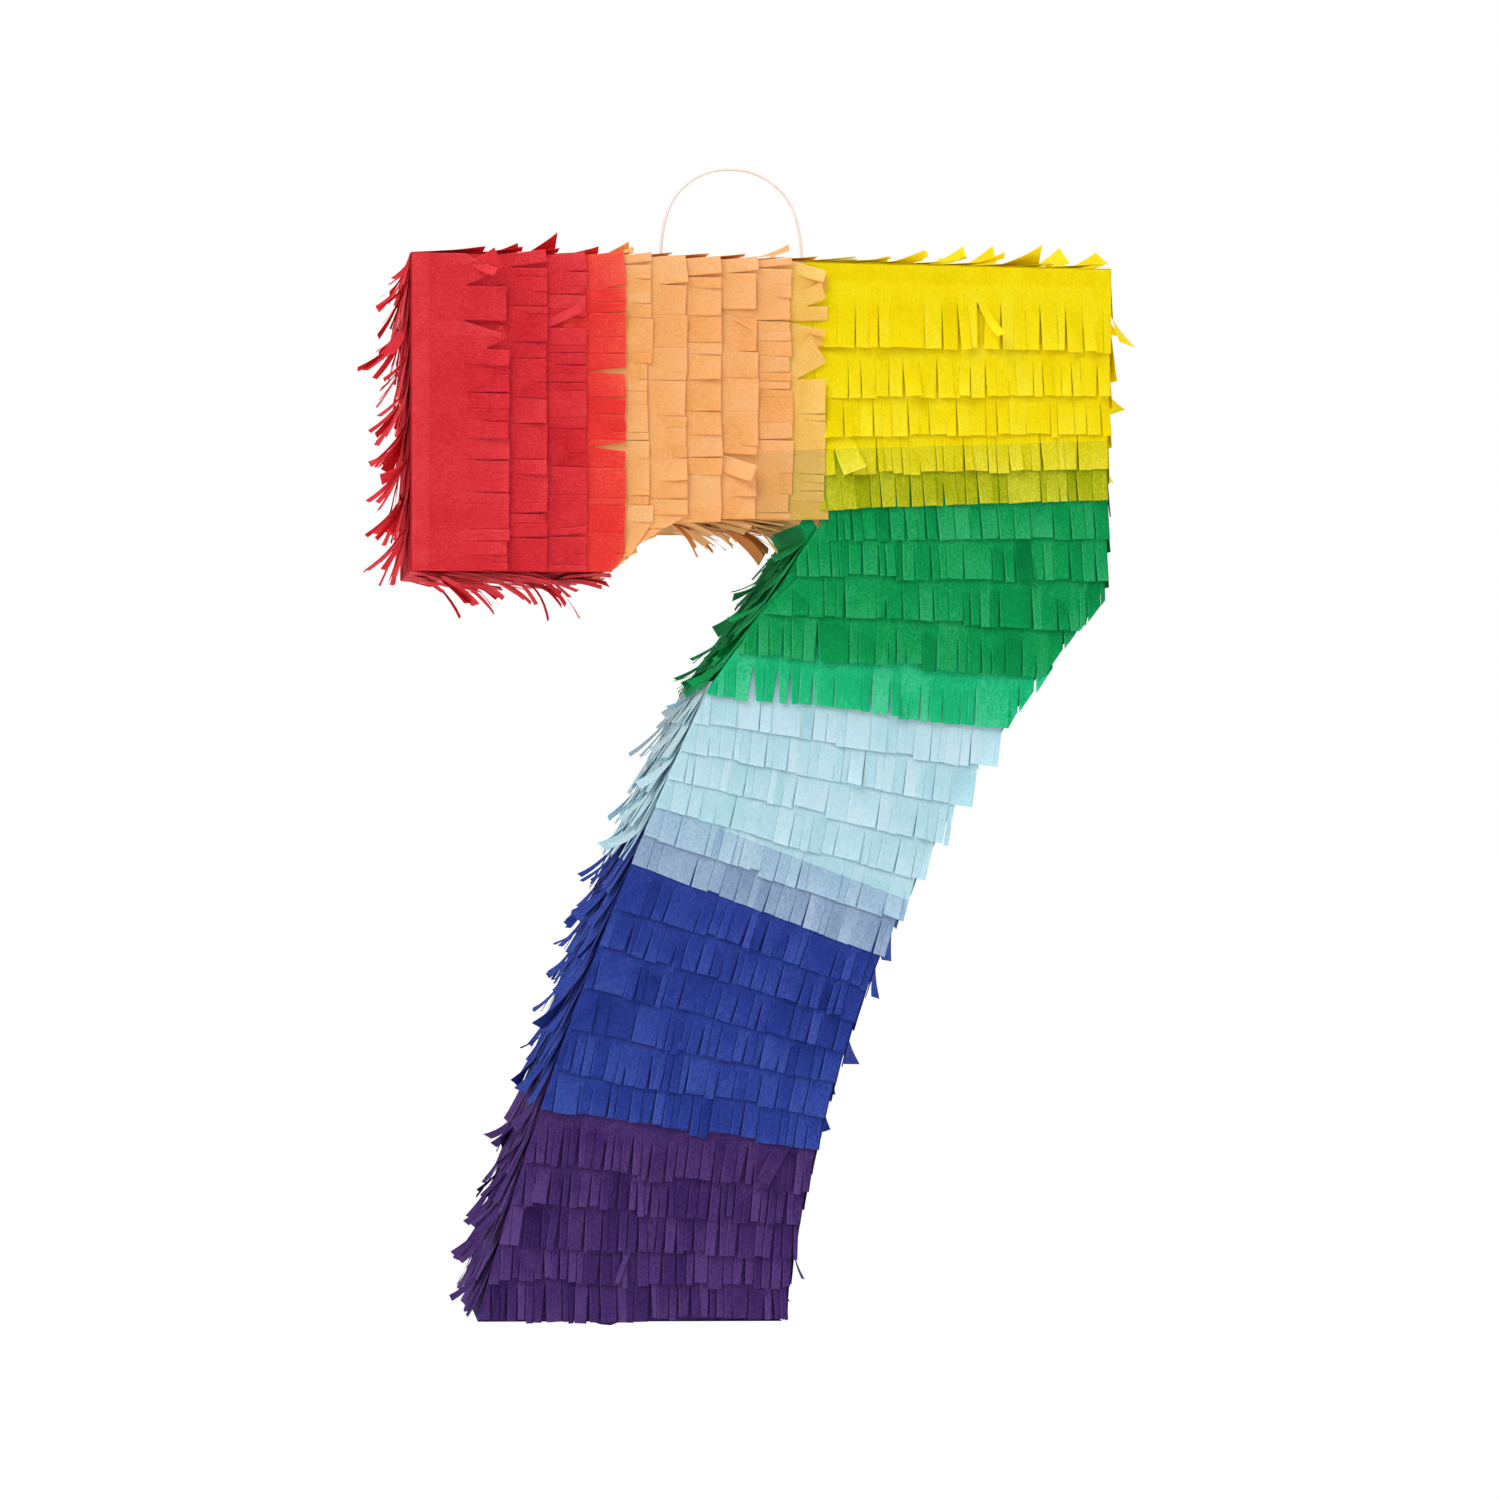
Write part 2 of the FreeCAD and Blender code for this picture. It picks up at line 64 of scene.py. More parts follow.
bl_info = {
    "name": "Number seven pinata",
    "version": (1, 0, 0),
    "blender": (4, 5, 0),
    "location": "View3D > Sidebar > Pinata",
    "description": "Tissue fringe, boards and hanging loop of a number seven pinata",
    "category": "Object",
}

MM = 0.001
PANEL_FACE = 38 * MM  # the outer faces of the two panels stand this far from the middle plane
LAP = 9 * MM  # each row's heading line is this far up under the row before it
UNDER, UNDER_SLOPE = 8 * MM, 0.033  # the sheet goes on this far above that line, down to the board this fast
TUCK = 15 * MM  # the arm's yellow rows go on this far under the last peach row
TUCK_EASE, TUCK_DROP = 4 * MM, 0.72  # over this length they come down by this share of their height
CORNER = 1.3 * MM  # the rows on the walls reach this far over the casing's long edges
OVERHANG = 2.5 * MM  # trimmed rows reach this far past the casing's edge
TRIM_STEP = 0.5 * MM  # and are trimmed as finely as this
HIDDEN = 1.5 * MM  # a row that starts at the casing's edge goes on this far under its own strips
ON_EDGE = 0.3 * MM  # a point this near to the front panel is over it
FLAP_UNDER = 3 * MM  # the flap's first row stays clear of its crease
WINDOW_CLEAR = 2.5 * MM  # the back panel's rows stay this far from the flap
SKIN = 5.2 * MM  # the outer corners of a layer on a wall lie within this of its outermost one
LEG_RIGHTWARDS = 0.3  # rows on the leg's walls fall down far more than to the right
LOOP_FEET, FOOT_CLEAR = (-29 * MM, 29 * MM), 6 * MM  # the loop swings down here, so strips lie flat this near
BANDS = ("red", "peach", "yellow", "green", "sky", "blue", "purple")
LEG_BANDS = BANDS[3:]
SEEDS = {"front": 1000, "side": 2000, "flap": 3001, "wrap": 4000}
SEEDS_PER_BAND = 20
NARROWEST = 1.6 * MM  # no row ends in a strip narrower than this
CUT_NEAR = 1.5 * MM  # a cut this near to one that has to be there is left out
LEAST_HEADING, LEAST_STRIP = 1.5 * MM, 1.2 * MM  # a slit leaves this much above it, and is this long
SHORTEST = 4 * MM  # shorter strips are left out
PAINTED_EDGE_MARGIN = 0.7 * MM  # a strip's painted edge highlight and painted edge shade reach this far in
OPEN_SLIT = 14 * MM  # how long the slits are that stand open
HEADING_STEPS, PLAIN_STEPS, FREE_STEPS = 2, 6, 6  # faces along a heading, a plain heading and a strip
FIRST_ROWS = {"red_front_row_1": 18 * MM, "yellow_front_row_1": 20 * MM}  # strips below a plain heading

# One layer of tissue as its corners, the heading first, and the way that it faces.
Slab = namedtuple("Slab", "start end tip_start tip_end out")

# How a group of rows is cut and how it lies:
# - widths holds (share, narrowest, widest) in mm, and slit is the shortest and longest slit in mm.
# - short is the share of slits that stop early, and gap the widest opening between two strips in mm.
# - lean and flare are how many degrees a strip turns sideways and lifts.
# - wild is the share of strips that stand off: they lift wild_lift degrees more, hang wild_more mm
#   longer, and turn their faces wild_turn degrees to the side.
# - jitter is how uneven the tips are, in mm.
# - edge is how strongly a strip is painted paler along one cut edge, as painted highlight, and darker along the
#   other, as painted shade of the slit; vary is how much whole strips differ in paleness.
# - trimmed rows are cut along the casing's edge, and rest is how fast a row leans out.
# - a low curl bends strips near the heading, and a high one near the tip.
Cut = namedtuple(
    "Cut",
    "widths slit short gap lean flare wild jitter edge vary trimmed rest curl wild_lift wild_more wild_turn",
    defaults=(1.0, 1.0, False, None, 1.4, (8, 22), 0.0, 0.0),
)
NARROW, MIDDLE, WIDE = (2.6, 4.4), (4.4, 7.2), (8.0, 15.0)
FRONT_CUTS = {
    "red": Cut(
        ((0.35, *NARROW), (0.4, *MIDDLE), (0.25, *WIDE)),
        (13, 17), 0.25, 0.25, 0.6, 3, 0.03, 0.35, 0.9, 0.9, True, 0.05,
    ),
    "peach": Cut(
        ((0.2, *NARROW), (0.45, *MIDDLE), (0.35, *WIDE)),
        (12, 17), 0.3, 0.2, 0.8, 4, 0.04, 0.6, 0.8, 0.8, True, 0.05,
    ),
    "yellow": Cut(
        ((0.4, *NARROW), (0.55, *MIDDLE), (0.05, *WIDE)),
        (14, 18), 0.1, 0.3, 1.4, 3.5, 0.05, 0.4, 0.8, 0.8, rest=0.055,
    ),
    "green": Cut(
        ((0.4, *NARROW), (0.55, *MIDDLE), (0.05, *WIDE)),
        (13, 17), 0.1, 0.45, 1.0, 4, 0.04, 0.55, 1.3, 1.4, True, 0.055,
    ),
    "sky": Cut(
        ((0.4, *NARROW), (0.5, *MIDDLE), (0.1, *WIDE)),
        (13, 17), 0.1, 0.14, 0.9, 1.6, 0.03, 0.45, 0.8, 1.1, rest=0.042,
    ),
    "blue": Cut(
        ((0.5, *NARROW), (0.4, *MIDDLE), (0.1, *WIDE)),
        (12, 17), 0.15, 0.4, 1.4, 4, 0.05, 0.7, 1.3, 1.3, rest=0.06,
    ),
    "purple": Cut(
        ((0.75, *NARROW), (0.25, *MIDDLE)),
        (13, 18), 0.05, 0.8, 1.7, 5, 0.06, 0.9, 1.4, 1.3,
    ),
}
SIDE_WIDTHS = ((0.45, *NARROW), (0.5, *MIDDLE), (0.05, *WIDE))
LONG = (15, 20)
SIDE_CUTS = {
    "top": Cut(
        ((0.1, *NARROW), (0.6, *MIDDLE), (0.3, *WIDE)),
        (13, 17), 0.1, 0.5, 3, 4, 0.3, 0.9, 0.4,
        curl=0.9, wild_lift=(10, 22), wild_more=2.5, wild_turn=55,
    ),
    "end": Cut(
        SIDE_WIDTHS, LONG, 0.05, 0.6, 5, 6, 0.36, 2.0, 0.8,
        rest=0.1, curl=0.35, wild_lift=(12, 44), wild_more=5.0,
    ),
    "underside": Cut(
        SIDE_WIDTHS, LONG, 0.05, 0.6, 7, 7, 0.3, 2.0, 0.8,
        rest=0.1, curl=0.4, wild_lift=(14, 48), wild_more=4.0,
    ),
    "right": Cut(
        ((0.2, *NARROW), (0.6, *MIDDLE), (0.2, *WIDE)),
        LONG, 0.05, 0.4, 3, 3, 0.1, 1.2, 0.6,
        rest=0.06, curl=0.8, wild_lift=(14, 44), wild_more=2.0, wild_turn=60,
    ),
    "inner": Cut(
        SIDE_WIDTHS, LONG, 0.05, 0.5, 5, 6, 0.26, 1.6, 0.7,
        rest=0.09, curl=0.6, wild_lift=(8, 32), wild_more=2.5, wild_turn=30,
    ),
    "outer": Cut(
        SIDE_WIDTHS, LONG, 0.05, 0.4, 3, 3, 0.08, 1.2, 0.7,
        rest=0.06, curl=0.8, wild_lift=(8, 26), wild_more=2.0, wild_turn=50,
    ),
}
SIDE_CUTS["yellow top"] = SIDE_CUTS["top"]._replace(wild=0.5, wild_lift=(12, 26), wild_more=3.5)
SIDE_CUTS["yellow right"] = SIDE_CUTS["right"]._replace(wild=0.14, wild_lift=(20, 46), wild_more=5.0)
UNCUT = Cut(((1, *WIDE),), (0.5, 1), 0, 0, 0, 0, 0, 0, 0, 0.5)  # a plain sheet
FOOT_Z, END_X = -455 * MM, -125 * MM  # the foot wall lies below this, and the arm's end wall left of this
WALLS = {
    "top": "top_wall",
    "foot": "foot_wall",
    "end": "end_wall",
    "underside": "arm_underside_wall",
    "right": "right_wall",
    "inner": "leg_inner_wall",
    "outer": "leg_outer_wall",
}
# Headings that differ along the casing's edge: how wide, how much paler and how far they stand out there.
EDGE_BANDS = {"red_front_row_1": (6.7 * MM, 0.2, 0.2 * MM), "yellow_front_row_1": (7 * MM, -0.17, 0.0)}
# Strips that hands have bent: the row, where the tip hangs (x, z in mm), its lift and its turn in degrees.
BENT = (
    ("red_front_row_1", -94, -45, 75, 28),
    ("red_front_row_1", -94, -52, 55, -24),
    ("red_front_row_1", -94, -68, 62, 20),
    ("red_front_row_1", -94, -76, 50, -26),
    ("red_front_row_3", -63, -67, 48, -24),
    ("peach_front_row_4", 4, -62, 40, 30),
    ("peach_front_row_4", 4, -121, 48, 20),
    ("peach_front_row_6", 32, -46, 24, 16),
    ("peach_front_row_6", 32, -56, 58, -22),
    ("peach_front_row_6", 32, -68, 40, 14),
    ("peach_front_row_6", 32, -80, 52, -34),
    ("yellow_front_row_1", 93, -77, 64, 24),
    ("yellow_front_row_3", 127, -112, 36, -8),
    ("yellow_front_row_4", 38, -125, 30, 18),
    ("purple_front_row_1", 14, -408, 44, -24),
    ("purple_front_row_4", -46, -446, 34, -20),
)
# Slits that stand open: the row, where the slit ends (x, z in mm) and its width there in mm.
OPENED = (
    ("red_front_row_4", -48, -88, 3.0),
    ("red_front_row_4", -48, -117, 3.4),
    ("yellow_front_row_4", 40, -123, 2.4),
    ("yellow_front_row_5", 62, -140, 1.6),
    ("green_front_row_5", 0, -215, 4.0),
    ("green_front_row_5", 14, -216, 2.6),
    ("sky_front_row_1", 36, -226, 2.2),
    ("blue_front_row_2", 12, -300, 2.0),
)
# Strips that have torn off: the row and where the tip hung (x, z in mm).
LOST = (("yellow_front_row_5", 131, -136),)
LAST_ROW = "purple_front_row_5"  # the foot's own sheet is folded up behind this row
FOLD = (-55 * MM, 4.5 * MM, 2.2 * MM)  # the fold in the wrap under the foot: its x, half width and height
WRAP_STEP, WRAP_LAP = 4 * MM, 5 * MM  # the wraps' faces are this long, and lap this far over both panels
WRAP_STAND = 0.05 * MM  # how far a wrap stands off the board


def linear(text):
    """An sRGB hex colour as the linear colour that a shader takes."""
    parts = [int(text[i : i + 2], 16) / 255 for i in (1, 3, 5)]
    return [c / 12.92 if c <= 0.04045 else ((c + 0.055) / 1.055) ** 2.4 for c in parts] + [1.0]


# Each band's deep, usual and pale colour.
TISSUES = {
    "red": ("#B81A26", "#D52E37", "#E4474D"),
    "peach": ("#E8994F", "#FAAE6C", "#FFC08A"),
    "yellow": ("#E6C800", "#FADC04", "#FFEA38"),
    "green": ("#00743A", "#079650", "#37AE6F"),
    "sky": ("#9CCBD6", "#B6DBE7", "#CFE9F2"),
    "blue": ("#18286F", "#2B3E93", "#4258A9"),
    "purple": ("#2A144A", "#452B67", "#5E4380"),
}


def band_colour(band):
    """The property that holds the usual colour of a band's tissue."""
    return bpy.props.FloatVectorProperty(
        name=band.capitalize(),
        description=f"Usual colour of the {band} tissue",
        default=linear(TISSUES[band][1]),
        size=4,
        min=0.0,
        max=1.0,
        subtype="COLOR",
    )


class PaperColours(bpy.types.PropertyGroup):
    """Colours of the dyed tissue."""

    red: band_colour("red")
    peach: band_colour("peach")
    yellow: band_colour("yellow")
    green: band_colour("green")
    sky: band_colour("sky")
    blue: band_colour("blue")
    purple: band_colour("purple")


class PaperSizes(bpy.types.PropertyGroup):
    """Sizes of the tissue paper."""

    thickness: bpy.props.FloatProperty(
        name="Thickness", description="Thickness of a row's tissue", default=0.08 * MM, unit="LENGTH"
    )
    crinkle: bpy.props.FloatProperty(
        name="Crinkle", description="How far the tissue's waves stand out", default=0.28 * MM, unit="LENGTH"
    )
    tint: bpy.props.FloatProperty(
        name="Tint", description="How much strips differ in paleness", default=0.22, subtype="FACTOR"
    )
    wrap: bpy.props.FloatProperty(
        name="Wrap", description="Thickness of the tissue round the edge", default=0.03 * MM, unit="LENGTH"
    )


class LoopSizes(bpy.types.PropertyGroup):
    """Sizes of the nylon line that the pinata hangs from."""

    diameter: bpy.props.FloatProperty(
        name="Diameter", description="Diameter of the nylon line", default=1.3 * MM, unit="LENGTH"
    )
    length: bpy.props.FloatProperty(
        name="Length", description="Line between its two bends", default=111.4 * MM, unit="LENGTH"
    )


class StageSizes(bpy.types.PropertyGroup):
    """Where the camera and the floor are."""

    distance: bpy.props.FloatProperty(
        name="Distance", description="Camera to the pinata's front", default=1.3, unit="LENGTH"
    )
    turn: bpy.props.FloatProperty(
        name="Turn",
        description="How far the camera stands to the left",
        default=math.radians(9),
        subtype="ANGLE",
    )
    lens: bpy.props.FloatProperty(
        name="Lens", description="Focal length for a 36 mm sensor", default=79.31, unit="CAMERA"
    )
    floor_drop: bpy.props.FloatProperty(
        name="Floor drop", description="Floor below the pinata's foot", default=0.25, unit="LENGTH"
    )


def add(tree, kind, settings=(), **links):
    """Adds a shader node: settings are its own values, links fill its sockets from values or outputs."""
    node = tree.nodes.new(kind)
    for name, value in dict(settings).items():
        setattr(node, name, value)
    for name, value in links.items():
        socket = node.inputs[int(name[1:]) if name[1:].isdigit() else name.replace("_", " ")]
        if isinstance(value, bpy.types.NodeSocket):
            tree.links.new(value, socket)
        else:
            socket.default_value = value
    return node


def new_material(name):
    """An empty node material with its shader, ready to be linked."""
    material = bpy.data.materials.new(name)
    material.use_nodes = True
    tree = material.node_tree
    tree.nodes.clear()
    shader = add(tree, "ShaderNodeBsdfPrincipled")
    add(tree, "ShaderNodeOutputMaterial", Surface=shader.outputs["BSDF"])
    return material, tree, shader


def ramp(tree, factor, colours):
    """Colours, as hex texts or linear, spread evenly over a factor from 0 to 1."""
    node = add(tree, "ShaderNodeValToRGB", Fac=factor)
    while len(node.color_ramp.elements) < len(colours):
        node.color_ramp.elements.new(0.5)
    for index, colour in enumerate(colours):
        element = node.color_ramp.elements[index]
        element.position = index / (len(colours) - 1)
        element.color = linear(colour) if isinstance(colour, str) else colour
    return node.outputs["Color"]


def tissue(name, plain, over=None):
    """Dyed tissue paper: a thin matt sheet with cloudy fibres and fine creases along the strip.

    plain and over hold the deep, usual and pale colour, over where another colour lies under the sheet.
    """
    material, tree, shader = new_material(name)
    paper = add(tree, "ShaderNodeAttribute", {"attribute_name": "paper"}).outputs["Vector"]
    strip = add(tree, "ShaderNodeAttribute", {"attribute_name": "strip"}).outputs["Vector"]
    parts = add(tree, "ShaderNodeSeparateXYZ", Vector=strip)
    # Clouds of fibres 1.1 mm wide; single fibres of 0.02 mm would be lost, so they show as 0.5 mm streaks.
    clouds = add(tree, "ShaderNodeTexNoise", Vector=paper, Scale=1 / (1.1 * MM), Detail=3.0, Roughness=0.6)
    along = add(tree, "ShaderNodeMapping", Vector=paper, Scale=(1, 0.14, 1)).outputs["Vector"]
    streaks = add(tree, "ShaderNodeTexNoise", Vector=along, Scale=1 / (0.5 * MM), Detail=2.0)
    patches = add(tree, "ShaderNodeTexNoise", Vector=paper, Scale=1 / (14 * MM), Detail=2.0)
    # The strip's paleness: its random tone, with the painted highlight and painted shade that the rows lay on
    # it.
    total = parts.outputs["X"]
    for source, share in ((clouds, 0.9), (streaks, 0.5), (patches, 0.45)):
        centred = add(tree, "ShaderNodeMath", {"operation": "SUBTRACT"}, _0=source.outputs["Fac"], _1=0.5)
        total = add(
            tree, "ShaderNodeMath", {"operation": "MULTIPLY_ADD"}, _0=centred.outputs[0], _1=share, _2=total
        ).outputs[0]
    factor = add(tree, "ShaderNodeMath", {"operation": "ADD", "use_clamp": True}, _0=total, _1=0.5).outputs[0]
    colour = ramp(tree, factor, plain)
    if over:
        beyond = add(
            tree, "ShaderNodeMath", {"operation": "GREATER_THAN"}, _0=parts.outputs["Z"], _1=0.0
        ).outputs[0]
        mix = add(tree, "ShaderNodeMix", {"data_type": "RGBA"}, Factor=beyond)
        tree.links.new(colour, mix.inputs[6])
        tree.links.new(ramp(tree, factor, over), mix.inputs[7])
        colour = mix.outputs[2]
    tree.links.new(colour, shader.inputs["Base Color"])
    # Creases 1.6 mm apart run along the strip, and the sheet crumples every 7 mm.
    long_way = add(tree, "ShaderNodeMapping", Vector=paper, Scale=(1, 0.1, 1)).outputs["Vector"]
    creases = add(tree, "ShaderNodeTexNoise", Vector=long_way, Scale=1 / (1.6 * MM), Detail=2.0)
    crumple = add(tree, "ShaderNodeTexNoise", Vector=paper, Scale=1 / (7 * MM), Detail=3.0)
    height = add(
        tree,
        "ShaderNodeMath",
        {"operation": "MULTIPLY_ADD"},
        _0=crumple.outputs["Fac"],
        _1=1.6,
        _2=creases.outputs["Fac"],
    ).outputs[0]
    bump = add(tree, "ShaderNodeBump", Strength=0.55, Distance=0.16 * MM, Height=height)
    tree.links.new(bump.outputs["Normal"], shader.inputs["Normal"])
    shader.inputs["Roughness"].default_value = 0.78
    shader.inputs["Specular IOR Level"].default_value = 0.06
    # Light goes about a fifth of a millimetre into the fibres, so a lifted strip glows a little from behind.
    shader.inputs["Subsurface Weight"].default_value = 0.5
    shader.inputs["Subsurface Scale"].default_value = 0.2 * MM
    shader.inputs["Subsurface Radius"].default_value = (1, 1, 1)
    return material


# Last rows lie over the next colour, which shows through the sheet from where its own sheet begins.
SHOWING = {
    "red_front_row_4": ("red tissue over peach", ("#DB2723", "#EA3A36", "#F86350")),
    "peach_front_row_6": ("peach tissue over yellow and green", ("#C4A437", "#DAB060", "#E8C274")),
    "peach_front_row_5": ("peach tissue over peach and green", ("#D69A50", "#E8A966", "#F6BC84")),
    "yellow_front_row_4": ("yellow tissue over yellow and green", ("#C2B600", "#DCCF14", "#F2E550")),
    "yellow_front_row_5": ("yellow tissue over green", ("#7F8E00", "#ABB00E", "#D9D53C")),
    "green_front_row_5": ("green tissue over sky", ("#05A060", "#1DB87C", "#58CC9E")),
    "sky_front_row_5": ("sky tissue over sky and blue", ("#86A3C2", "#A3C1D7", "#C0DCE8")),
    "sky_front_row_6": ("sky tissue over blue", ("#7288A8", "#8CA2C0", "#ABBFD8")),
}
SHOW_FROM = 15 * MM  # the next colour's sheet begins this far before its first row's heading
# A row that lies wholly over the next colour.
UNDER_ALL = {"peach_front_row_6": ("#E3A94A", "#F5BC5E", "#FFCE7C")}
paper_materials = {}


def paper_material(node, colour):
    """The tissue of a row, made once for each colour and for each row that lets another colour through."""
    name, over = SHOWING.get(node, (f"{colour} tissue paper", None))
    if name not in paper_materials:
        deep, _, pale = TISSUES[colour]
        usual = getattr(bpy.context.scene.pinata_colours, colour)
        paper_materials[name] = tissue(name, UNDER_ALL.get(node, (deep, usual, pale)), over)
    return paper_materials[name]


def kraft_board():
    """Corrugated kraft board: a matt brown liner with short fibres, and flutes that print through faintly."""
    material, tree, shader = new_material("corrugated kraft board")
    place = add(tree, "ShaderNodeTexCoord").outputs["Object"]
    fibres = add(tree, "ShaderNodeTexNoise", Vector=place, Scale=1 / (0.8 * MM), Detail=4.0)
    # Flutes stand 6.4 mm apart: a band wave of scale 1 repeats every pi / 10 m.
    flutes = add(
        tree,
        "ShaderNodeTexWave",
        {"bands_direction": "X"},
        Vector=place,
        Scale=math.pi / 10 / (6.4 * MM),
        Distortion=0.3,
    )
    factor = add(
        tree,
        "ShaderNodeMath",
        {"operation": "MULTIPLY_ADD"},
        _0=flutes.outputs["Fac"],
        _1=0.14,
        _2=fibres.outputs["Fac"],
    ).outputs[0]
    tree.links.new(ramp(tree, factor, ("#8A6440", "#B58B5C", "#C9A477")), shader.inputs["Base Color"])
    bump = add(tree, "ShaderNodeBump", Strength=0.4, Distance=0.1 * MM, Height=factor)
    tree.links.new(bump.outputs["Normal"], shader.inputs["Normal"])
    shader.inputs["Roughness"].default_value = 0.88
    return material


def nylon_line():
    """Extruded clear nylon: glassy and faintly milky, with a soft shine along the line."""
    material, tree, shader = new_material("clear nylon line")
    place = add(tree, "ShaderNodeTexCoord").outputs["Object"]
    draw = add(tree, "ShaderNodeTexNoise", Vector=place, Scale=1 / (2.5 * MM), Detail=2.0)
    tree.links.new(ramp(tree, draw.outputs["Fac"], ("#FAF7F7", "#FFFFFF")), shader.inputs["Base Color"])
    shader.inputs["Roughness"].default_value = 0.3
    shader.inputs["IOR"].default_value = 1.53
    shader.inputs["Transmission Weight"].default_value = 0.08
    return material


def clean_solids(node):
    """The closed solids of a CAD node, each as its list of points, in the order of the mesh."""
    cad = bmesh.new()
    cad.from_mesh(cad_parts[node].data)
    bmesh.ops.remove_doubles(cad, verts=cad.verts, dist=0.01 * MM)
    solids, seen = [], set()
    for first in cad.verts:
        if first in seen:
            continue
        seen.add(first)
        waiting, found = [first], []
        while waiting:
            vert = waiting.pop()
            found.append(vert.co.copy())
            for edge in vert.link_edges:
                other = edge.other_vert(vert)
                if other not in seen:
                    seen.add(other)
                    waiting.append(other)
        solids.append(found)
    cad.free()
    return solids


def seen_from_front(point):
    """The same point without its depth."""
    return Vector((point.x, 0, point.z))


def face_slab(points):
    """The outer corners of a layer that lies on the front or the back panel."""
    side = 1 if points[0].y > 0 else -1
    middle = sum(points, Vector()) / len(points)
    spots = []
    for point in sorted(points, key=lambda p: (p - middle).length, reverse=True):
        near = [spot for spot in spots if (seen_from_front(spot) - seen_from_front(point)).length < MM]
        if near:
            if abs(point.y) > abs(near[0].y):
                near[0][:] = point
        elif len(spots) < 4:
            spots.append(point.copy())
    spots.sort(key=lambda p: abs(p.y))
    heading, tip = spots[:2], spots[2:]
    line = heading[1] - heading[0]
    lead = 1 if abs(line.x) > abs(line.z) else -1
    order = (lambda p: p.x) if lead > 0 else (lambda p: -p.z)
    start, end = sorted(heading, key=order)
    tip_start, tip_end = sorted(tip, key=order)
    out = (end - start).cross(tip_start - start).normalized()
    if out.y * side < 0:
        out = -out
    return Slab(start, end, tip_start, tip_end, out)


def side_slab(points, panel, rightwards):
    """The outer corners of a layer that lies across a side wall.

    Rows fall to the right and down. rightwards is how much the way to the right counts beside the way down.
    """
    flat = [seen_from_front(p) for p in points]
    fall = max((b - a for a in flat for b in flat), key=lambda v: v.length).normalized()
    if fall.x * rightwards - fall.z < 0:
        fall = -fall
    middle = sum(flat, Vector()) / len(flat)
    near = panel.closest_point_on_mesh(Vector((middle.x, -PANEL_FACE, middle.z)))[1]
    out = Vector((-fall.z, 0, fall.x))
    if out.dot(Vector((middle.x - near.x, 0, middle.z - near.z))) < 0:
        out = -out
    outer = max(p.dot(out) for p in flat)
    skin = [p for p in flat if p.dot(out) > outer - SKIN]
    heading = min(skin, key=lambda p: (p.dot(fall), -p.dot(out)))
    tip = max(skin, key=lambda p: (p.dot(fall), p.dot(out)))
    low, high = min(p.y for p in points), max(p.y for p in points)
    across = [Vector((spot.x, y, spot.z)) for spot in (heading, tip) for y in (low, high)]
    true_fall = (tip - heading).normalized()
    true_out = Vector((-true_fall.z, 0, true_fall.x))
    if true_out.dot(out) < 0:
        true_out = -true_out
    return Slab(across[0], across[1], across[2], across[3], true_out)


def slabs_of(node):
    """Every tissue layer of a node as a Slab."""
    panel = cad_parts["front_panel"]
    rightwards = LEG_RIGHTWARDS if node.startswith(LEG_BANDS) else 1.0
    made = []
    for points in clean_solids(node):
        flat = min(abs(p.y) for p in points) > PANEL_FACE
        made.append(face_slab(points) if flat else side_slab(points, panel, rightwards))
    return made


class Fringe:
    """Collects the strips of one piece, then turns them into a mesh.

    The tissue reads two attributes. paper is the place on the flat sheet. strip holds how pale a point is,
    painted highlight and painted shade included, a zero, and how far it lies past the line where the next
    colour's sheet begins.
    """

    def __init__(self, seed, beyond=None):
        self.points, self.faces, self.paper, self.strip = [], [], [], []
        self.rng = random.Random(seed)
        self.beyond = beyond
        self.flat_area, self.flat_length = 0.0, 0.0
        self.shift = 0.0

    def vertex(self, place, u, v, tint):
        past = self.beyond(place) if self.beyond else -1.0
        self.points.append(place)
        self.paper.append((u + self.shift, v, self.shift))
        self.strip.append((tint, 0.0, past))
        return len(self.points) - 1

    def object(self, name, material, thickness):
        mesh = bpy.data.meshes.new(name)
        mesh.from_pydata([tuple(p) for p in self.points], [], self.faces)
        for label, values in (("paper", self.paper), ("strip", self.strip)):
            layer = mesh.attributes.new(label, "FLOAT_VECTOR", "POINT")
            layer.data.foreach_set("vector", [c for value in values for c in value])
        mesh.materials.append(material)
        made = bpy.data.objects.new(name, mesh)
        bpy.context.scene.collection.objects.link(made)
        solid = made.modifiers.new("thickness", "SOLIDIFY")
        solid.thickness = thickness
        solid.offset = 0
        return made


def cut_positions(rng, first, last, cut, forced):
    """Where a row is cut, from its first to its last edge."""
    spots = [first]
    while spots[-1] < last:
        pick, total = rng.random(), 0.0
        for share, low, high in cut.widths:
            total += share
            if pick <= total:
                break
        spots.append(spots[-1] + rng.uniform(low, high) * MM)
    spots = [spot for spot in spots if spot < last - NARROWEST] + [last]
    for want in forced:
        if first + MM < want < last - MM:
            spots = [spot for spot in spots if abs(spot - want) > CUT_NEAR] + [want]
    return sorted(set(spots + [first]))


def beside(point):
    """The shortest way from the casing to a point, as seen from the front. It is zero over the casing."""
    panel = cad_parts["front_panel"]
    near = panel.closest_point_on_mesh(Vector((point.x, -PANEL_FACE, point.z)))[1]
    return Vector((point.x - near.x, 0, point.z - near.z))


def over_board(point):
    """Whether a point lies over the casing, as seen from the front."""
    return beside(point).length < ON_EDGE


def wall_slope(slab):
    """How fast a layer leans away from the board that it is glued to."""
    middle = (slab.start + slab.end) / 2
    if abs(slab.out.y) > 0.5:
        facing = Vector((0, math.copysign(1, middle.y), 0))
    else:
        facing = beside(middle).normalized()
    return math.tan(math.acos(min(1.0, slab.out.dot(facing))))


def axes(slab):
    """The directions along a row's heading and down its fall."""
    along = (slab.end - slab.start).normalized()
    fall = slab.out.cross(along)
    return along, -fall if fall.dot(slab.tip_start - slab.start) < 0 else fall


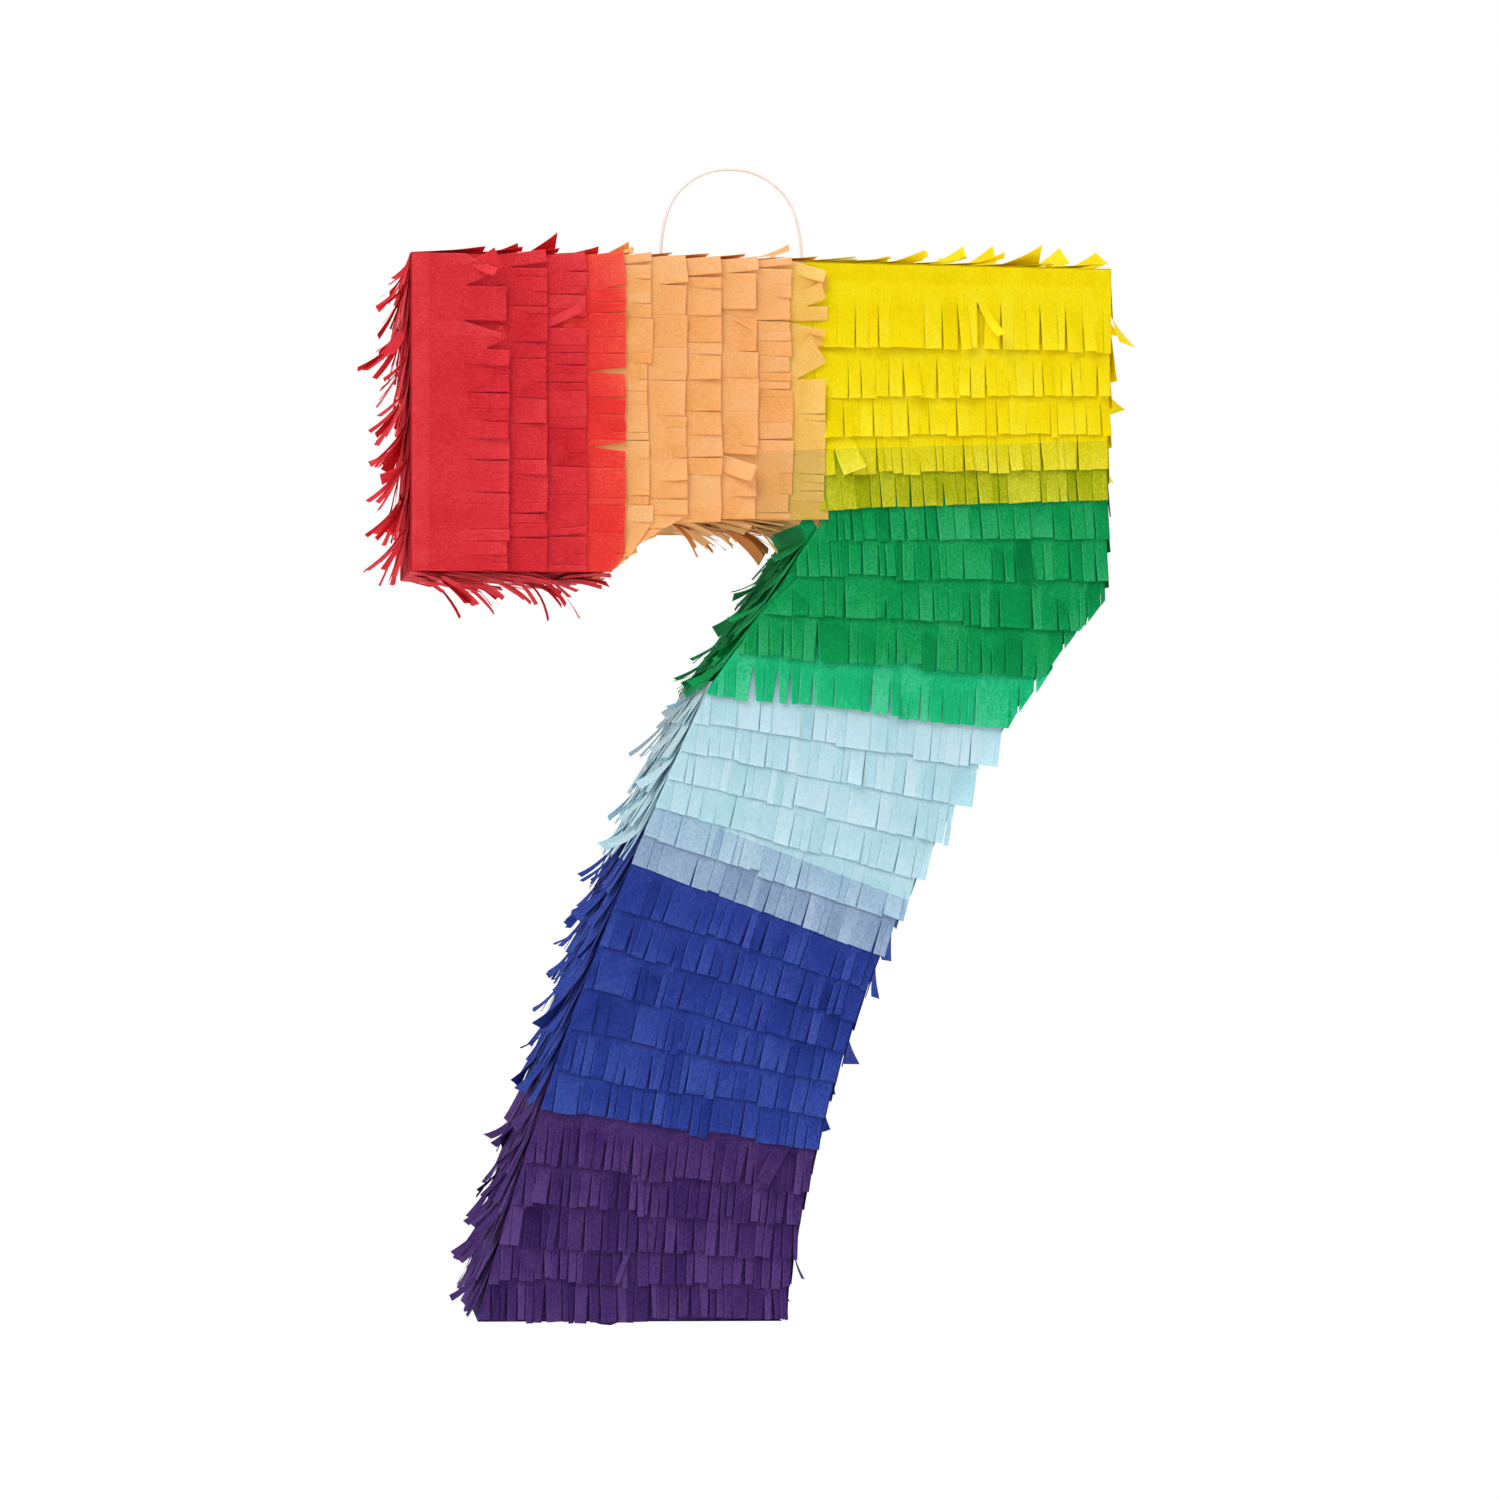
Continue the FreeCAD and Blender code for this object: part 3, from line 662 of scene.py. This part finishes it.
class Row:
    """Where one row begins, ends and hangs, in its own flat sizes: u along the heading, v down the fall."""

    def __init__(self, slab, trimmed, lean=None, under=UNDER, tucked=False):
        self.slab, self.under, self.tucked = slab, under, tucked
        self.along, self.fall = axes(slab)
        self.slope = wall_slope(slab)
        self.settle = 0.0 if lean is None else lean - self.slope
        self.turned = self.along.cross(self.fall).dot(slab.out) < 0
        self.width = (slab.end - slab.start).length
        self.upright = slab.out.y < -0.5 and abs(self.along.z) > 0.9
        # Strips on the walls turn their outer faces to the front more often than to the back.
        self.turns = (1, 1, -1) if self.along.y > 0 else (-1, -1, 1)
        on_wall = abs(slab.out.y) < 0.5
        self.left_u, self.left_v = self.local(slab.tip_start)
        self.right_u, self.right_v = self.local(slab.tip_end)
        self.first = self.left_u if self.left_u < 0 else self.left_u * LAP / self.left_v
        self.trimmed = trimmed and self.right_u < self.width
        if self.right_u > self.width:
            self.last = self.right_u
        else:
            self.last = self.width + (self.right_u - self.width) * (0.0 if trimmed else LAP / self.right_v)
        if tucked:
            self.first = -TUCK
        if on_wall:
            self.first -= CORNER
            self.last += CORNER

    def local(self, point):
        away = point - self.slab.start
        return away.dot(self.along), away.dot(self.fall)

    def place(self, u, v, w):
        """A point w off the sheet. Above the heading line the sheet slides down towards the board."""
        w += v * (self.settle if v > 0 else UNDER_SLOPE - self.slope)
        point = self.slab.start + self.along * u + self.fall * v + self.slab.out * w
        if self.tucked and u < 0:
            point.y = -PANEL_FACE + (point.y + PANEL_FACE) * (1 - TUCK_DROP * min(1, -u / TUCK_EASE))
        return point

    def near_loop(self, u):
        """Whether a strip on the top wall lies under one of the loop's feet."""
        head, tip = self.place(u, 0, 0), self.place(u, self.tip(u), 0)
        return any(head.x - FOOT_CLEAR < foot < tip.x + FOOT_CLEAR for foot in LOOP_FEET)

    def tip(self, u):
        """Where the strips end."""
        line = self.left_v + (self.right_v - self.left_v) * (u - self.left_u) / (self.right_u - self.left_u)
        if self.trimmed and u > self.right_u:
            while line > 2 * MM and beside(self.place(u, line, 0)).length > OVERHANG:
                line -= TRIM_STEP
        return line

    def top(self, u):
        """Where the sheet begins: on the casing's edge at the row's ends, elsewhere under the row before."""
        if u < 0 and self.left_u < 0 and not self.tucked:
            return max(0.0, self.left_v * u / self.left_u - HIDDEN)
        if u > self.width and self.right_u > self.width:
            return max(0.0, self.right_v * (u - self.width) / (self.right_u - self.width) - HIDDEN)
        for part in (1, 0.8, 0.6, 0.4, 0.2):
            if over_board(self.place(u, -self.under * part, 0) - self.slab.out * MM):
                return -self.under * part
        return 0.0


def on_board(slab):
    """The same layer, flat on the front board."""
    corners = (Vector((corner.x, -PANEL_FACE - 0.1 * MM, corner.z)) for corner in slab[:4])
    return Slab(*corners, Vector((0, -1, 0)))


def marks_for(table, node):
    """The entries of a table that belong to one row, without the row's name."""
    return [entry[1:] for entry in table if entry[0] == node]


def near_mark(marks, row, u, reach):
    """The rest of the mark that hangs within reach of a row's tip, or None."""
    spot = row.place(u, row.tip(u), 0)
    for x, z, *rest in marks:
        if math.hypot(x * MM - spot.x, z * MM - spot.z) < reach:
            return rest
    return None


def clear_of(window, row, u):
    """Where a strip may begin and where it must end, so that it leaves a window in its panel free.

    The window holds its left and right x, then its top and foot z.
    """
    head = row.place(u, row.top(u), 0)
    if not window or not window[0] < head.x < window[1]:
        return -1.0, 1.0
    past_top, past_foot = (row.top(u) + head.z - z for z in window[2:])
    if past_foot < row.top(u):
        return -1.0, 1.0
    return (-1.0, past_top) if past_top > row.top(u) else (past_foot, 1.0)


def open_slits(rng, row, spots, cut, opened, plain):
    """How far up each cut of a row goes, and how far it stands open."""
    slits, gaps = [], []
    for spot in spots:
        long = plain - rng.uniform(0, 2) * MM if plain else rng.uniform(*cut.slit) * MM
        gap = rng.uniform(0.3, 1) * cut.gap * MM
        if rng.random() < cut.short:
            long *= rng.uniform(0.3, 0.75)
        wide_open = near_mark(opened, row, spot, 3 * MM)
        if wide_open:
            gap, long = wide_open[0] * MM, OPEN_SLIT
        gaps.append(gap)
        slits.append(max(row.tip(spot) - long, row.top(spot) + LEAST_HEADING))
    return slits, gaps


def heading_places(node, top, slit, steps):
    """Where the faces of a heading meet, from its edge down to a slit, with its band if it has one."""
    if node not in EDGE_BANDS:
        return [top + (slit - top) * step / steps for step in range(steps + 1)]
    edge, below = EDGE_BANDS[node][0], steps - 2
    return [top, edge - 0.6 * MM, edge + 0.9 * MM] + [
        edge + (slit - edge) * step / below for step in range(1, below + 1)
    ]


def hanging(rng, cut, turns, block):
    """How one strip hangs: how much longer its block and it are, its slant, lean, flare and twist."""
    if rng.random() < 0.3:
        block = rng.gauss(0, cut.jitter * MM)
    longer = block + rng.gauss(0, cut.jitter * 0.35 * MM)
    slant = math.tan(math.radians(rng.gauss(0, 1.5)))
    lean = math.radians(rng.gauss(0, cut.lean))
    flare = math.radians(abs(rng.gauss(0, cut.flare)) + 0.5)
    twist = math.radians(rng.gauss(0, 5 + cut.flare * 0.5))
    if rng.random() < cut.wild:
        lean *= 2.2
        flare += math.radians(rng.uniform(*cut.wild_lift))
        twist += math.radians(rng.choice(turns) * rng.uniform(0.5, 1) * cut.wild_turn)
        longer += rng.uniform(-0.3, 1) * cut.wild_more * MM
    return block, longer, slant, lean, flare, twist


def bent_run(length, flare, curl, steps):
    """How far down and out a strip has come after some of its steps, when it lifts more towards its tip."""
    run = out = 0.0
    for part in range(steps):
        angle = flare * ((part + 0.5) / FREE_STEPS) ** curl
        run += math.cos(angle) * length / FREE_STEPS
        out += math.sin(angle) * length / FREE_STEPS
    return run, out


def lay_row(fringe, slab, cut, sizes, node="", window=None, under=UNDER):
    """One row: a glued heading, and strips below it that hang, lean and curl a little."""
    if node.endswith("_front_row_1"):
        under = SHOW_FROM
    rng, row = fringe.rng, Row(slab, cut.trimmed, cut.rest, under, node.startswith("yellow_front_row"))
    bent, opened, lost = (marks_for(table, node) for table in (BENT, OPENED, LOST))
    plain = FIRST_ROWS.get(node)
    fringe.shift += rng.uniform(0.3, 0.7)
    seed = Vector((fringe.shift * 50, 0, 0))
    heading_steps = PLAIN_STEPS if plain else HEADING_STEPS
    shared = {}

    def ripple(u, v, amount):
        return (noise.noise(seed + Vector((u, v, 0)) / (9 * MM)) + 0.6) * sizes.crinkle * amount

    def heading_column(u, slit, key, tint, low):
        """The points down one line of the heading. Strips side by side share the one between them."""
        if key not in shared:
            column = shared[key] = []
            for number, v in enumerate(heading_places(node, max(row.top(u), low), slit, heading_steps)):
                rise, shade = ripple(u, v, 0.5) * min(1, max(0, 1 + v / UNDER)), tint * number / heading_steps
                if node in EDGE_BANDS and number < 2:
                    _, pale, stand = EDGE_BANDS[node]
                    wave = noise.noise(seed + Vector((u, 0, 0)) / (6 * MM))
                    shade = pale * (1 + wave)
                    rise += stand
                column.append(fringe.vertex(row.place(u, v, rise), u, v, shade))
        return shared[key]

    def quad(*corners):
        fringe.faces.append(corners[::-1] if row.turned else corners)

    forced = [row.local(Vector((x, slab.start.y, slab.start.z)))[0] for x in (window[:2] if window else ())]
    spots = cut_positions(rng, row.first, row.last, cut, forced)
    slits, gaps = open_slits(rng, row, spots, cut, opened, plain)
    block = 0.0
    for index in range(len(spots) - 1):
        u0, u1 = spots[index], spots[index + 1]
        middle, wide = (u0 + u1) / 2, u1 - u0
        tint = rng.gauss(0, sizes.tint * 0.5 * cut.vary)
        block, longer, slant, lean, flare, twist = hanging(rng, cut, row.turns, block)
        if row.slab.out.z > 0.9 and row.near_loop(middle):
            lean, flare, twist = lean * 0.3, math.radians(rng.uniform(0, 2)), 0.0
        # The first strip of an upright row turns up and is painted paler, as painted light on the teeth along
        # the top edge.
        if index == 0 and row.upright and not window:
            lean, tint = math.radians(-rng.uniform(5, 9)), abs(tint) + 0.12
        bend = near_mark(bent, row, middle, max(wide / 2, 2.5 * MM))
        if bend:
            flare, lean, twist = (math.radians(value) for value in (*bend, bend[1]))
            # A bent strip is painted paler, as painted light on its lifted face.
            tint += 0.2
        if near_mark(lost, row, middle, max(wide / 2, 2 * MM)):
            continue
        top = row.top(middle)
        low, limit = clear_of(window, row, middle)
        tips = [min(row.tip(u) + longer + (u - middle) * slant, limit) for u in (u0, u1)]
        if min(tips) < max(top, low) + SHORTEST:
            continue
        sides = (index, index + 1)
        ends = [min(max(slits[k], low + LEAST_HEADING), tip - LEAST_STRIP) for k, tip in zip(sides, tips)]
        keys = [k if end == slits[k] and low < top else (k, index) for k, end in zip(sides, ends)]
        painted_edge_share = min(PAINTED_EDGE_MARGIN, wide * 0.25) / wide
        columns = []
        # The outer columns are painted: a painted highlight along the first cut edge, and a painted shade line
        # along the second, where the slit lies in shadow.
        for share, key, colour in (
            (0, keys[0], tint + 0.3 * cut.edge),
            (painted_edge_share, (index, "near"), tint),
            (1 - painted_edge_share, (index, "far"), tint),
            (1, keys[1], tint - 0.5 * cut.edge),
        ):
            slit, tip = (pair[0] + (pair[1] - pair[0]) * share for pair in (ends, tips))
            inward = gaps[index] * (1 - share) - gaps[index + 1] * share
            columns.append((u0 + wide * share, slit, tip, inward / 2, key, colour))
        fringe.flat_area += wide * (sum(tips) / 2 - max(top, low))
        heads = [heading_column(u, slit, key, tint * 0.5, low) for u, slit, _, _, key, _ in columns]
        for a, b in zip(heads, heads[1:]):
            for step in range(heading_steps):
                quad(a[step], b[step], b[step + 1], a[step + 1])
        # The strip leaves the heading flat and turns outwards towards its tip.
        rows = [[column[-1] for column in heads]]
        for step in range(1, FREE_STEPS + 1):
            share = step / FREE_STEPS
            line = []
            for u, slit, tip, inward, _, colour in columns:
                run, out = bent_run(tip - slit, flare, cut.curl, step)
                aside = u - middle + inward * share
                turn = twist * share
                uu = middle + aside * math.cos(turn) + run * math.sin(lean)
                vv = slit + run * math.cos(lean) - aside * math.sin(lean) * share
                ww = max(out + aside * math.sin(turn), -0.1 * MM) + ripple(uu, vv, 0.5 + 0.5 * share)
                # Painted shade where the strip leaves its slit, under the tips of the row above, fading to
                # painted light towards the lifted tip.
                shade = colour - 0.1 + 0.22 * share
                line.append(fringe.vertex(row.place(uu, vv, ww), u, slit + (tip - slit) * share, shade))
            rows.append(line)
        for upper, lower in zip(rows, rows[1:]):
            for column in range(3):
                quad(upper[column], upper[column + 1], lower[column + 1], lower[column])
    fringe.flat_length += max(row.left_v, row.right_v) - row.top(row.width / 2)


def outline():
    """The casing's edge, once round, as the points of the front panel's outer face."""
    panel = bmesh.new()
    panel.from_mesh(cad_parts["front_panel"].data)
    bmesh.ops.remove_doubles(panel, verts=panel.verts, dist=0.01 * MM)
    outer = {
        face
        for face in panel.faces
        if face.normal.y < -0.9 and face.calc_center_median().y < -PANEL_FACE + MM
    }
    following = {}
    for face in outer:
        for loop in face.loops:
            if not any(other in outer and other is not face for other in loop.edge.link_faces):
                following[loop.vert.index] = loop.link_loop_next.vert.index
    points = {vert.index: vert.co.copy() for vert in panel.verts}
    panel.free()
    first = min(following, key=lambda index: (points[index].x - points[index].z, index))
    round_it, current = [points[first]], following[first]
    while current != first:
        round_it.append(points[current])
        current = following[current]
    return round_it


def fine_outline():
    """The casing's edge in short steps, the way outwards at each, and whether it runs round the other way."""
    fine = []
    ring = outline()
    for a, b in zip(ring, ring[1:] + ring[:1]):
        parts = max(1, round((b - a).length / WRAP_STEP))
        fine += [a.lerp(b, part / parts) for part in range(parts)]
    count = len(fine)
    outwards = []
    for index, point in enumerate(fine):
        before, after = point - fine[index - 1], fine[(index + 1) % count] - point
        sides = [Vector((-way.z, 0, way.x)).normalized() for way in (before, after)]
        mitre = (sides[0] + sides[1]).normalized()
        outwards.append(mitre / max(mitre.dot(sides[0]), 0.5))
    turned = sum(a.x * b.z - b.x * a.z for a, b in zip(fine, fine[1:] + fine[:1])) > 0
    if turned:
        outwards = [-way for way in outwards]
    return fine, outwards, turned


def edge_wraps(slabs):
    """The tissue wrapped round the casing's edge: its own colour in each band, under the fringe."""
    fine, outwards, turned = fine_outline()
    count = len(fine)
    flat = PANEL_FACE + WRAP_STAND
    half = ((-WRAP_LAP, flat), (0.0, flat), (WRAP_STAND, PANEL_FACE))
    section = (*((away, -y) for away, y in half), *reversed(half))
    made = {}
    for index in range(count):
        middle = (fine[index] + fine[(index + 1) % count]) / 2
        middle.y = 0
        colour = min(slabs, key=lambda item: ((item[1].start + item[1].tip_end) / 2 - middle).length)[0]
        made.setdefault(colour, []).append(index)
    pieces = {}
    for colour, indices in made.items():
        fringe = pieces[colour] = Fringe(SEEDS["wrap"] + BANDS.index(colour))
        rings = {}
        for index in indices:
            for number in (index, (index + 1) % count):
                if number not in rings:
                    x, z = fine[number].x, fine[number].z
                    fold = FOLD[2] * math.exp(-(((x - FOLD[0]) / FOLD[1]) ** 2)) if z < FOOT_Z else 0.0
                    rings[number] = []
                    for away, y in section:
                        away += fold if away > 0 and y < 0 else 0.0
                        place = Vector((x, y, z)) + outwards[number] * away
                        rings[number].append(fringe.vertex(place, index * WRAP_STEP, y - away, -0.1))
            a, b = rings[index], rings[(index + 1) % count]
            for part in range(len(section) - 1):
                quad = (a[part], a[part + 1], b[part + 1], b[part])
                fringe.faces.append(quad[::-1] if turned else quad)
        around = 2 * (PANEL_FACE + WRAP_LAP)
        long = sum((fine[(index + 1) % count] - fine[index]).length for index in indices)
        fringe.flat_area, fringe.flat_length = long * around, long
    return pieces


def begins_at(node):
    """How far a point lies past the line where a colour's own sheet begins, in metres."""
    slab = slabs_of(node)[0]
    fall = axes(slab)[1]
    origin = slab.start - fall * SHOW_FROM
    return lambda place: (place - origin).dot(fall)


def declare(made, body):
    """Ties a tissue piece to its body."""
    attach(made, body)


class PINATA_OT_stage(bpy.types.Operator):
    """Makes the camera, the pale floor and the soft studio light"""

    bl_idname = "pinata.stage"
    bl_label = "Stage"

    def execute(self, context):
        scene, sizes = context.scene, context.scene.pinata_stage
        aim = Vector((1.3, -40, -234.7)) * MM  # the middle of the pinata's front
        camera = bpy.data.objects.new("camera", bpy.data.cameras.new("camera"))
        camera.data.sensor_width, camera.data.lens = 36, sizes.lens
        camera.data.clip_start, camera.data.clip_end = 0.05, 60
        away = Vector((-math.sin(sizes.turn), -math.cos(sizes.turn), 0))
        camera.location = aim + away * sizes.distance
        camera.rotation_euler = (-away).to_track_quat("-Z", "Y").to_euler()
        scene.collection.objects.link(camera)
        scene.camera = camera
        mesh = bpy.data.meshes.new("floor")
        shape = bmesh.new()
        bmesh.ops.create_circle(shape, cap_ends=True, segments=96, radius=14)
        shape.to_mesh(mesh)
        shape.free()
        floor = bpy.data.objects.new("floor", mesh)
        floor.location.z = CAD_LOW[2] - sizes.floor_drop
        scene.collection.objects.link(floor)
        material, tree, shader = new_material("matt pale floor")
        grain = add(tree, "ShaderNodeTexNoise", Scale=60.0)
        tree.links.new(ramp(tree, grain.outputs["Fac"], ("#FAFAF9", "#FCFCFB")), shader.inputs["Base Color"])
        shader.inputs["Roughness"].default_value = 0.9
        shader.inputs["Specular IOR Level"].default_value = 0.1
        mesh.materials.append(material)
        floor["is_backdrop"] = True
        # Each sun's name, where it stands, its strength and its width in degrees: wide suns throw soft shadows.
        suns = (
            ("key", (-1.15, -1.05, 1.5), 1.5, 34),
            ("fill", (1.0, -1.2, 0.5), 0.35, 60),
            ("back", (0.9, 1.3, 1.0), 1.4, 50),
        )
        for name, direction, strength, spread in suns:
            light = bpy.data.lights.new(name, "SUN")
            light.energy, light.angle = strength, math.radians(spread)
            lamp = bpy.data.objects.new(name, light)
            lamp.location = Vector(direction) * 2
            lamp.rotation_euler = (-Vector(direction)).to_track_quat("-Z", "Y").to_euler()
            scene.collection.objects.link(lamp)
        world = bpy.data.worlds.new("studio")
        world.use_nodes = True
        tree = world.node_tree
        tree.nodes.clear()
        # The white sweep that is seen behind the pinata is brighter than the light that it gives.
        soft = add(tree, "ShaderNodeBackground", Color=(1, 1, 1, 1), Strength=0.5)
        sweep = add(tree, "ShaderNodeBackground", Color=(1, 1, 1, 1), Strength=1.0)
        seen = add(tree, "ShaderNodeLightPath").outputs["Is Camera Ray"]
        mix = add(tree, "ShaderNodeMixShader", _0=seen, _1=soft.outputs[0], _2=sweep.outputs[0])
        add(tree, "ShaderNodeOutputWorld", Surface=mix.outputs[0])
        scene.world = world
        scene.view_settings.view_transform = "Standard"
        return {"FINISHED"}


class PINATA_OT_hang_loop(bpy.types.Operator):
    """Makes the nylon loop and gives its knotted ends the same finish"""

    bl_idname = "pinata.hang_loop"
    bl_label = "Hanging loop"

    def execute(self, context):
        sizes = context.scene.pinata_loop
        nylon = nylon_line()
        curve = bpy.data.curves.new("nylon_loop", "CURVE")
        curve.dimensions = "3D"
        curve.bevel_depth, curve.bevel_resolution = sizes.diameter / 2, 4
        curve.use_fill_caps = True
        spline = curve.splines.new("NURBS")
        # Two straight feet and an arch between them, as (x, z) in mm.
        route = ((-29, -38.5), (-29, -16.3), (-12, 0.65), (12, 0.65), (29, -16.3), (29, -38.5))
        spline.points.add(len(route) - 1)
        for point, (x, z) in zip(spline.points, route):
            point.co = (x * MM, 0, z * MM, 1)
        spline.order_u, spline.use_endpoint_u, spline.resolution_u = 3, True, 16
        curve.materials.append(nylon)
        loop = bpy.data.objects.new("nylon_loop", curve)
        context.scene.collection.objects.link(loop)
        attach(loop, "loop")
        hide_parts("hang_loop")
        for name in ("left_line_end", "right_line_end"):
            finish_node(name, nylon)
        return {"FINISHED"}


def finish_node(name, material):
    """Gives a carried-over CAD node its material."""
    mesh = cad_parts[name].data
    mesh.materials.clear()
    mesh.materials.append(material)


class PINATA_OT_boards(bpy.types.Operator):
    """Gives the casing's boards, the patch and the flap their kraft finish"""

    bl_idname = "pinata.boards"
    bl_label = "Boards"

    def execute(self, context):
        kraft = kraft_board()
        for name in ("front_panel", "back_panel", "loop_patch", "fill_flap", *WALLS.values()):
            finish_node(name, kraft)
        return {"FINISHED"}


class PINATA_OT_front_rows(bpy.types.Operator):
    """Makes the fringe rows on the front, one piece for each row"""

    bl_idname = "pinata.front_rows"
    bl_label = "Front rows"

    def execute(self, context):
        sizes = context.scene.pinata_paper
        for number, colour in enumerate(BANDS):
            after = BANDS[number + 1] if number + 1 < len(BANDS) else None
            row = 1
            while f"{colour}_front_row_{row}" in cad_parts:
                node = f"{colour}_front_row_{row}"
                if colour == "peach" and node in SHOWING:
                    after = "green"
                beyond = begins_at(f"{after}_front_row_1") if node in SHOWING else None
                fringe = Fringe(SEEDS["front"] + number * SEEDS_PER_BAND + row, beyond)
                for slab in slabs_of(node):
                    lay_row(fringe, slab, FRONT_CUTS[colour], sizes, node)
                    if node == LAST_ROW:
                        lay_row(fringe, on_board(slab), UNCUT, sizes)
                made = fringe.object(f"{colour}_strips_{row}", paper_material(node, colour), sizes.thickness)
                declare(made, "casing")
                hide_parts(node)
                row += 1
        return {"FINISHED"}


def wall_of(slab, colour):
    """The name of the wall that a side layer lies on, from the way it faces and where it is."""
    out = slab.out
    if slab.start.z < FOOT_Z and out.z < -0.9:
        return "foot"
    if out.z > 0.9:
        return "top"
    if slab.start.x < END_X and out.x < -0.9:
        return "end"
    if out.x > 0.95:
        return "right"
    if out.x > 0:
        return "outer"
    return "inner" if colour in LEG_BANDS else "underside"


class PINATA_OT_side_and_back(bpy.types.Operator):
    """Makes the fringe on the side walls and on the back"""

    bl_idname = "pinata.side_and_back"
    bl_label = "Sides and back"

    def execute(self, context):
        sizes = context.scene.pinata_paper
        low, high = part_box("fill_flap")
        left, right = low[0] - WINDOW_CLEAR, high[0] + WINDOW_CLEAR
        window = (left, right, high[2] + WINDOW_CLEAR, low[2] - WINDOW_CLEAR)
        for number, colour in enumerate(BANDS):
            node = f"{colour}_side_and_back_fringe"
            groups = {}
            for slab in slabs_of(node):
                name = "back" if slab.out.y > 0.9 else wall_of(slab, colour)
                groups.setdefault(name, []).append(slab)
            for index, (name, slabs) in enumerate(sorted(groups.items())):
                fringe = Fringe(SEEDS["side"] + number * SEEDS_PER_BAND + index)
                for slab in slabs:
                    if name == "back":
                        lay_row(fringe, slab, FRONT_CUTS[colour], sizes, window=window)
                    else:
                        cut = SIDE_CUTS.get(f"{colour} {name}") or SIDE_CUTS.get(name, UNCUT)
                        lay_row(fringe, slab, cut, sizes)
                made = fringe.object(f"{colour}_{name}_strips", paper_material(node, colour), sizes.thickness)
                declare(made, "casing")
                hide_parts(node)
        return {"FINISHED"}


class PINATA_OT_edge_wraps(bpy.types.Operator):
    """Makes the tissue that is wrapped round the casing's edge, one piece for each colour"""

    bl_idname = "pinata.edge_wraps"
    bl_label = "Edge wraps"

    def execute(self, context):
        sizes = context.scene.pinata_paper
        slabs = [
            (colour, slab)
            for colour in BANDS
            for slab in slabs_of(f"{colour}_side_and_back_fringe")
            if abs(slab.out.y) < 0.5
        ]
        for colour, fringe in edge_wraps(slabs).items():
            made = fringe.object(f"{colour}_edge_wrap", paper_material("", colour), sizes.wrap)
            declare(made, "casing")
        return {"FINISHED"}


class PINATA_OT_flap_rows(bpy.types.Operator):
    """Makes the fringe on the filling flap"""

    bl_idname = "pinata.flap_rows"
    bl_label = "Flap rows"

    def execute(self, context):
        sizes = context.scene.pinata_paper
        fringe = Fringe(SEEDS["flap"])
        for slab in slabs_of("flap_fringe"):
            lay_row(fringe, slab, FRONT_CUTS["yellow"], sizes, under=FLAP_UNDER)
        made = fringe.object("flap_strips", paper_material("flap_fringe", "yellow"), sizes.thickness)
        declare(made, "flap")
        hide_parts("flap_fringe")
        return {"FINISHED"}


class PINATA_PT_panel(bpy.types.Panel):
    """Lists the steps that make the pinata"""

    bl_idname = "PINATA_PT_panel"
    bl_label = "Pinata"
    bl_space_type = "VIEW_3D"
    bl_region_type = "UI"
    bl_category = "Pinata"

    def draw(self, context):
        for group, properties in GROUPS.items():
            for name in properties.__annotations__:
                self.layout.prop(getattr(context.scene, group), name)
        for operator in OPERATORS:
            self.layout.operator(operator.bl_idname)


GROUPS = {
    "pinata_paper": PaperSizes,
    "pinata_colours": PaperColours,
    "pinata_loop": LoopSizes,
    "pinata_stage": StageSizes,
}
OPERATORS = (
    PINATA_OT_stage,
    PINATA_OT_hang_loop,
    PINATA_OT_boards,
    PINATA_OT_front_rows,
    PINATA_OT_side_and_back,
    PINATA_OT_edge_wraps,
    PINATA_OT_flap_rows,
)


def register():
    for name, group in GROUPS.items():
        bpy.utils.register_class(group)
        setattr(bpy.types.Scene, name, bpy.props.PointerProperty(type=group))
    for operator in OPERATORS:
        bpy.utils.register_class(operator)
    bpy.utils.register_class(PINATA_PT_panel)


def unregister():
    bpy.utils.unregister_class(PINATA_PT_panel)
    for operator in reversed(OPERATORS):
        bpy.utils.unregister_class(operator)
    for name, group in GROUPS.items():
        delattr(bpy.types.Scene, name)
        bpy.utils.unregister_class(group)


def main():
    register()
    for operator in OPERATORS:
        group, name = operator.bl_idname.split(".")
        getattr(getattr(bpy.ops, group), name)()


if __name__ == "__main__":
    main()
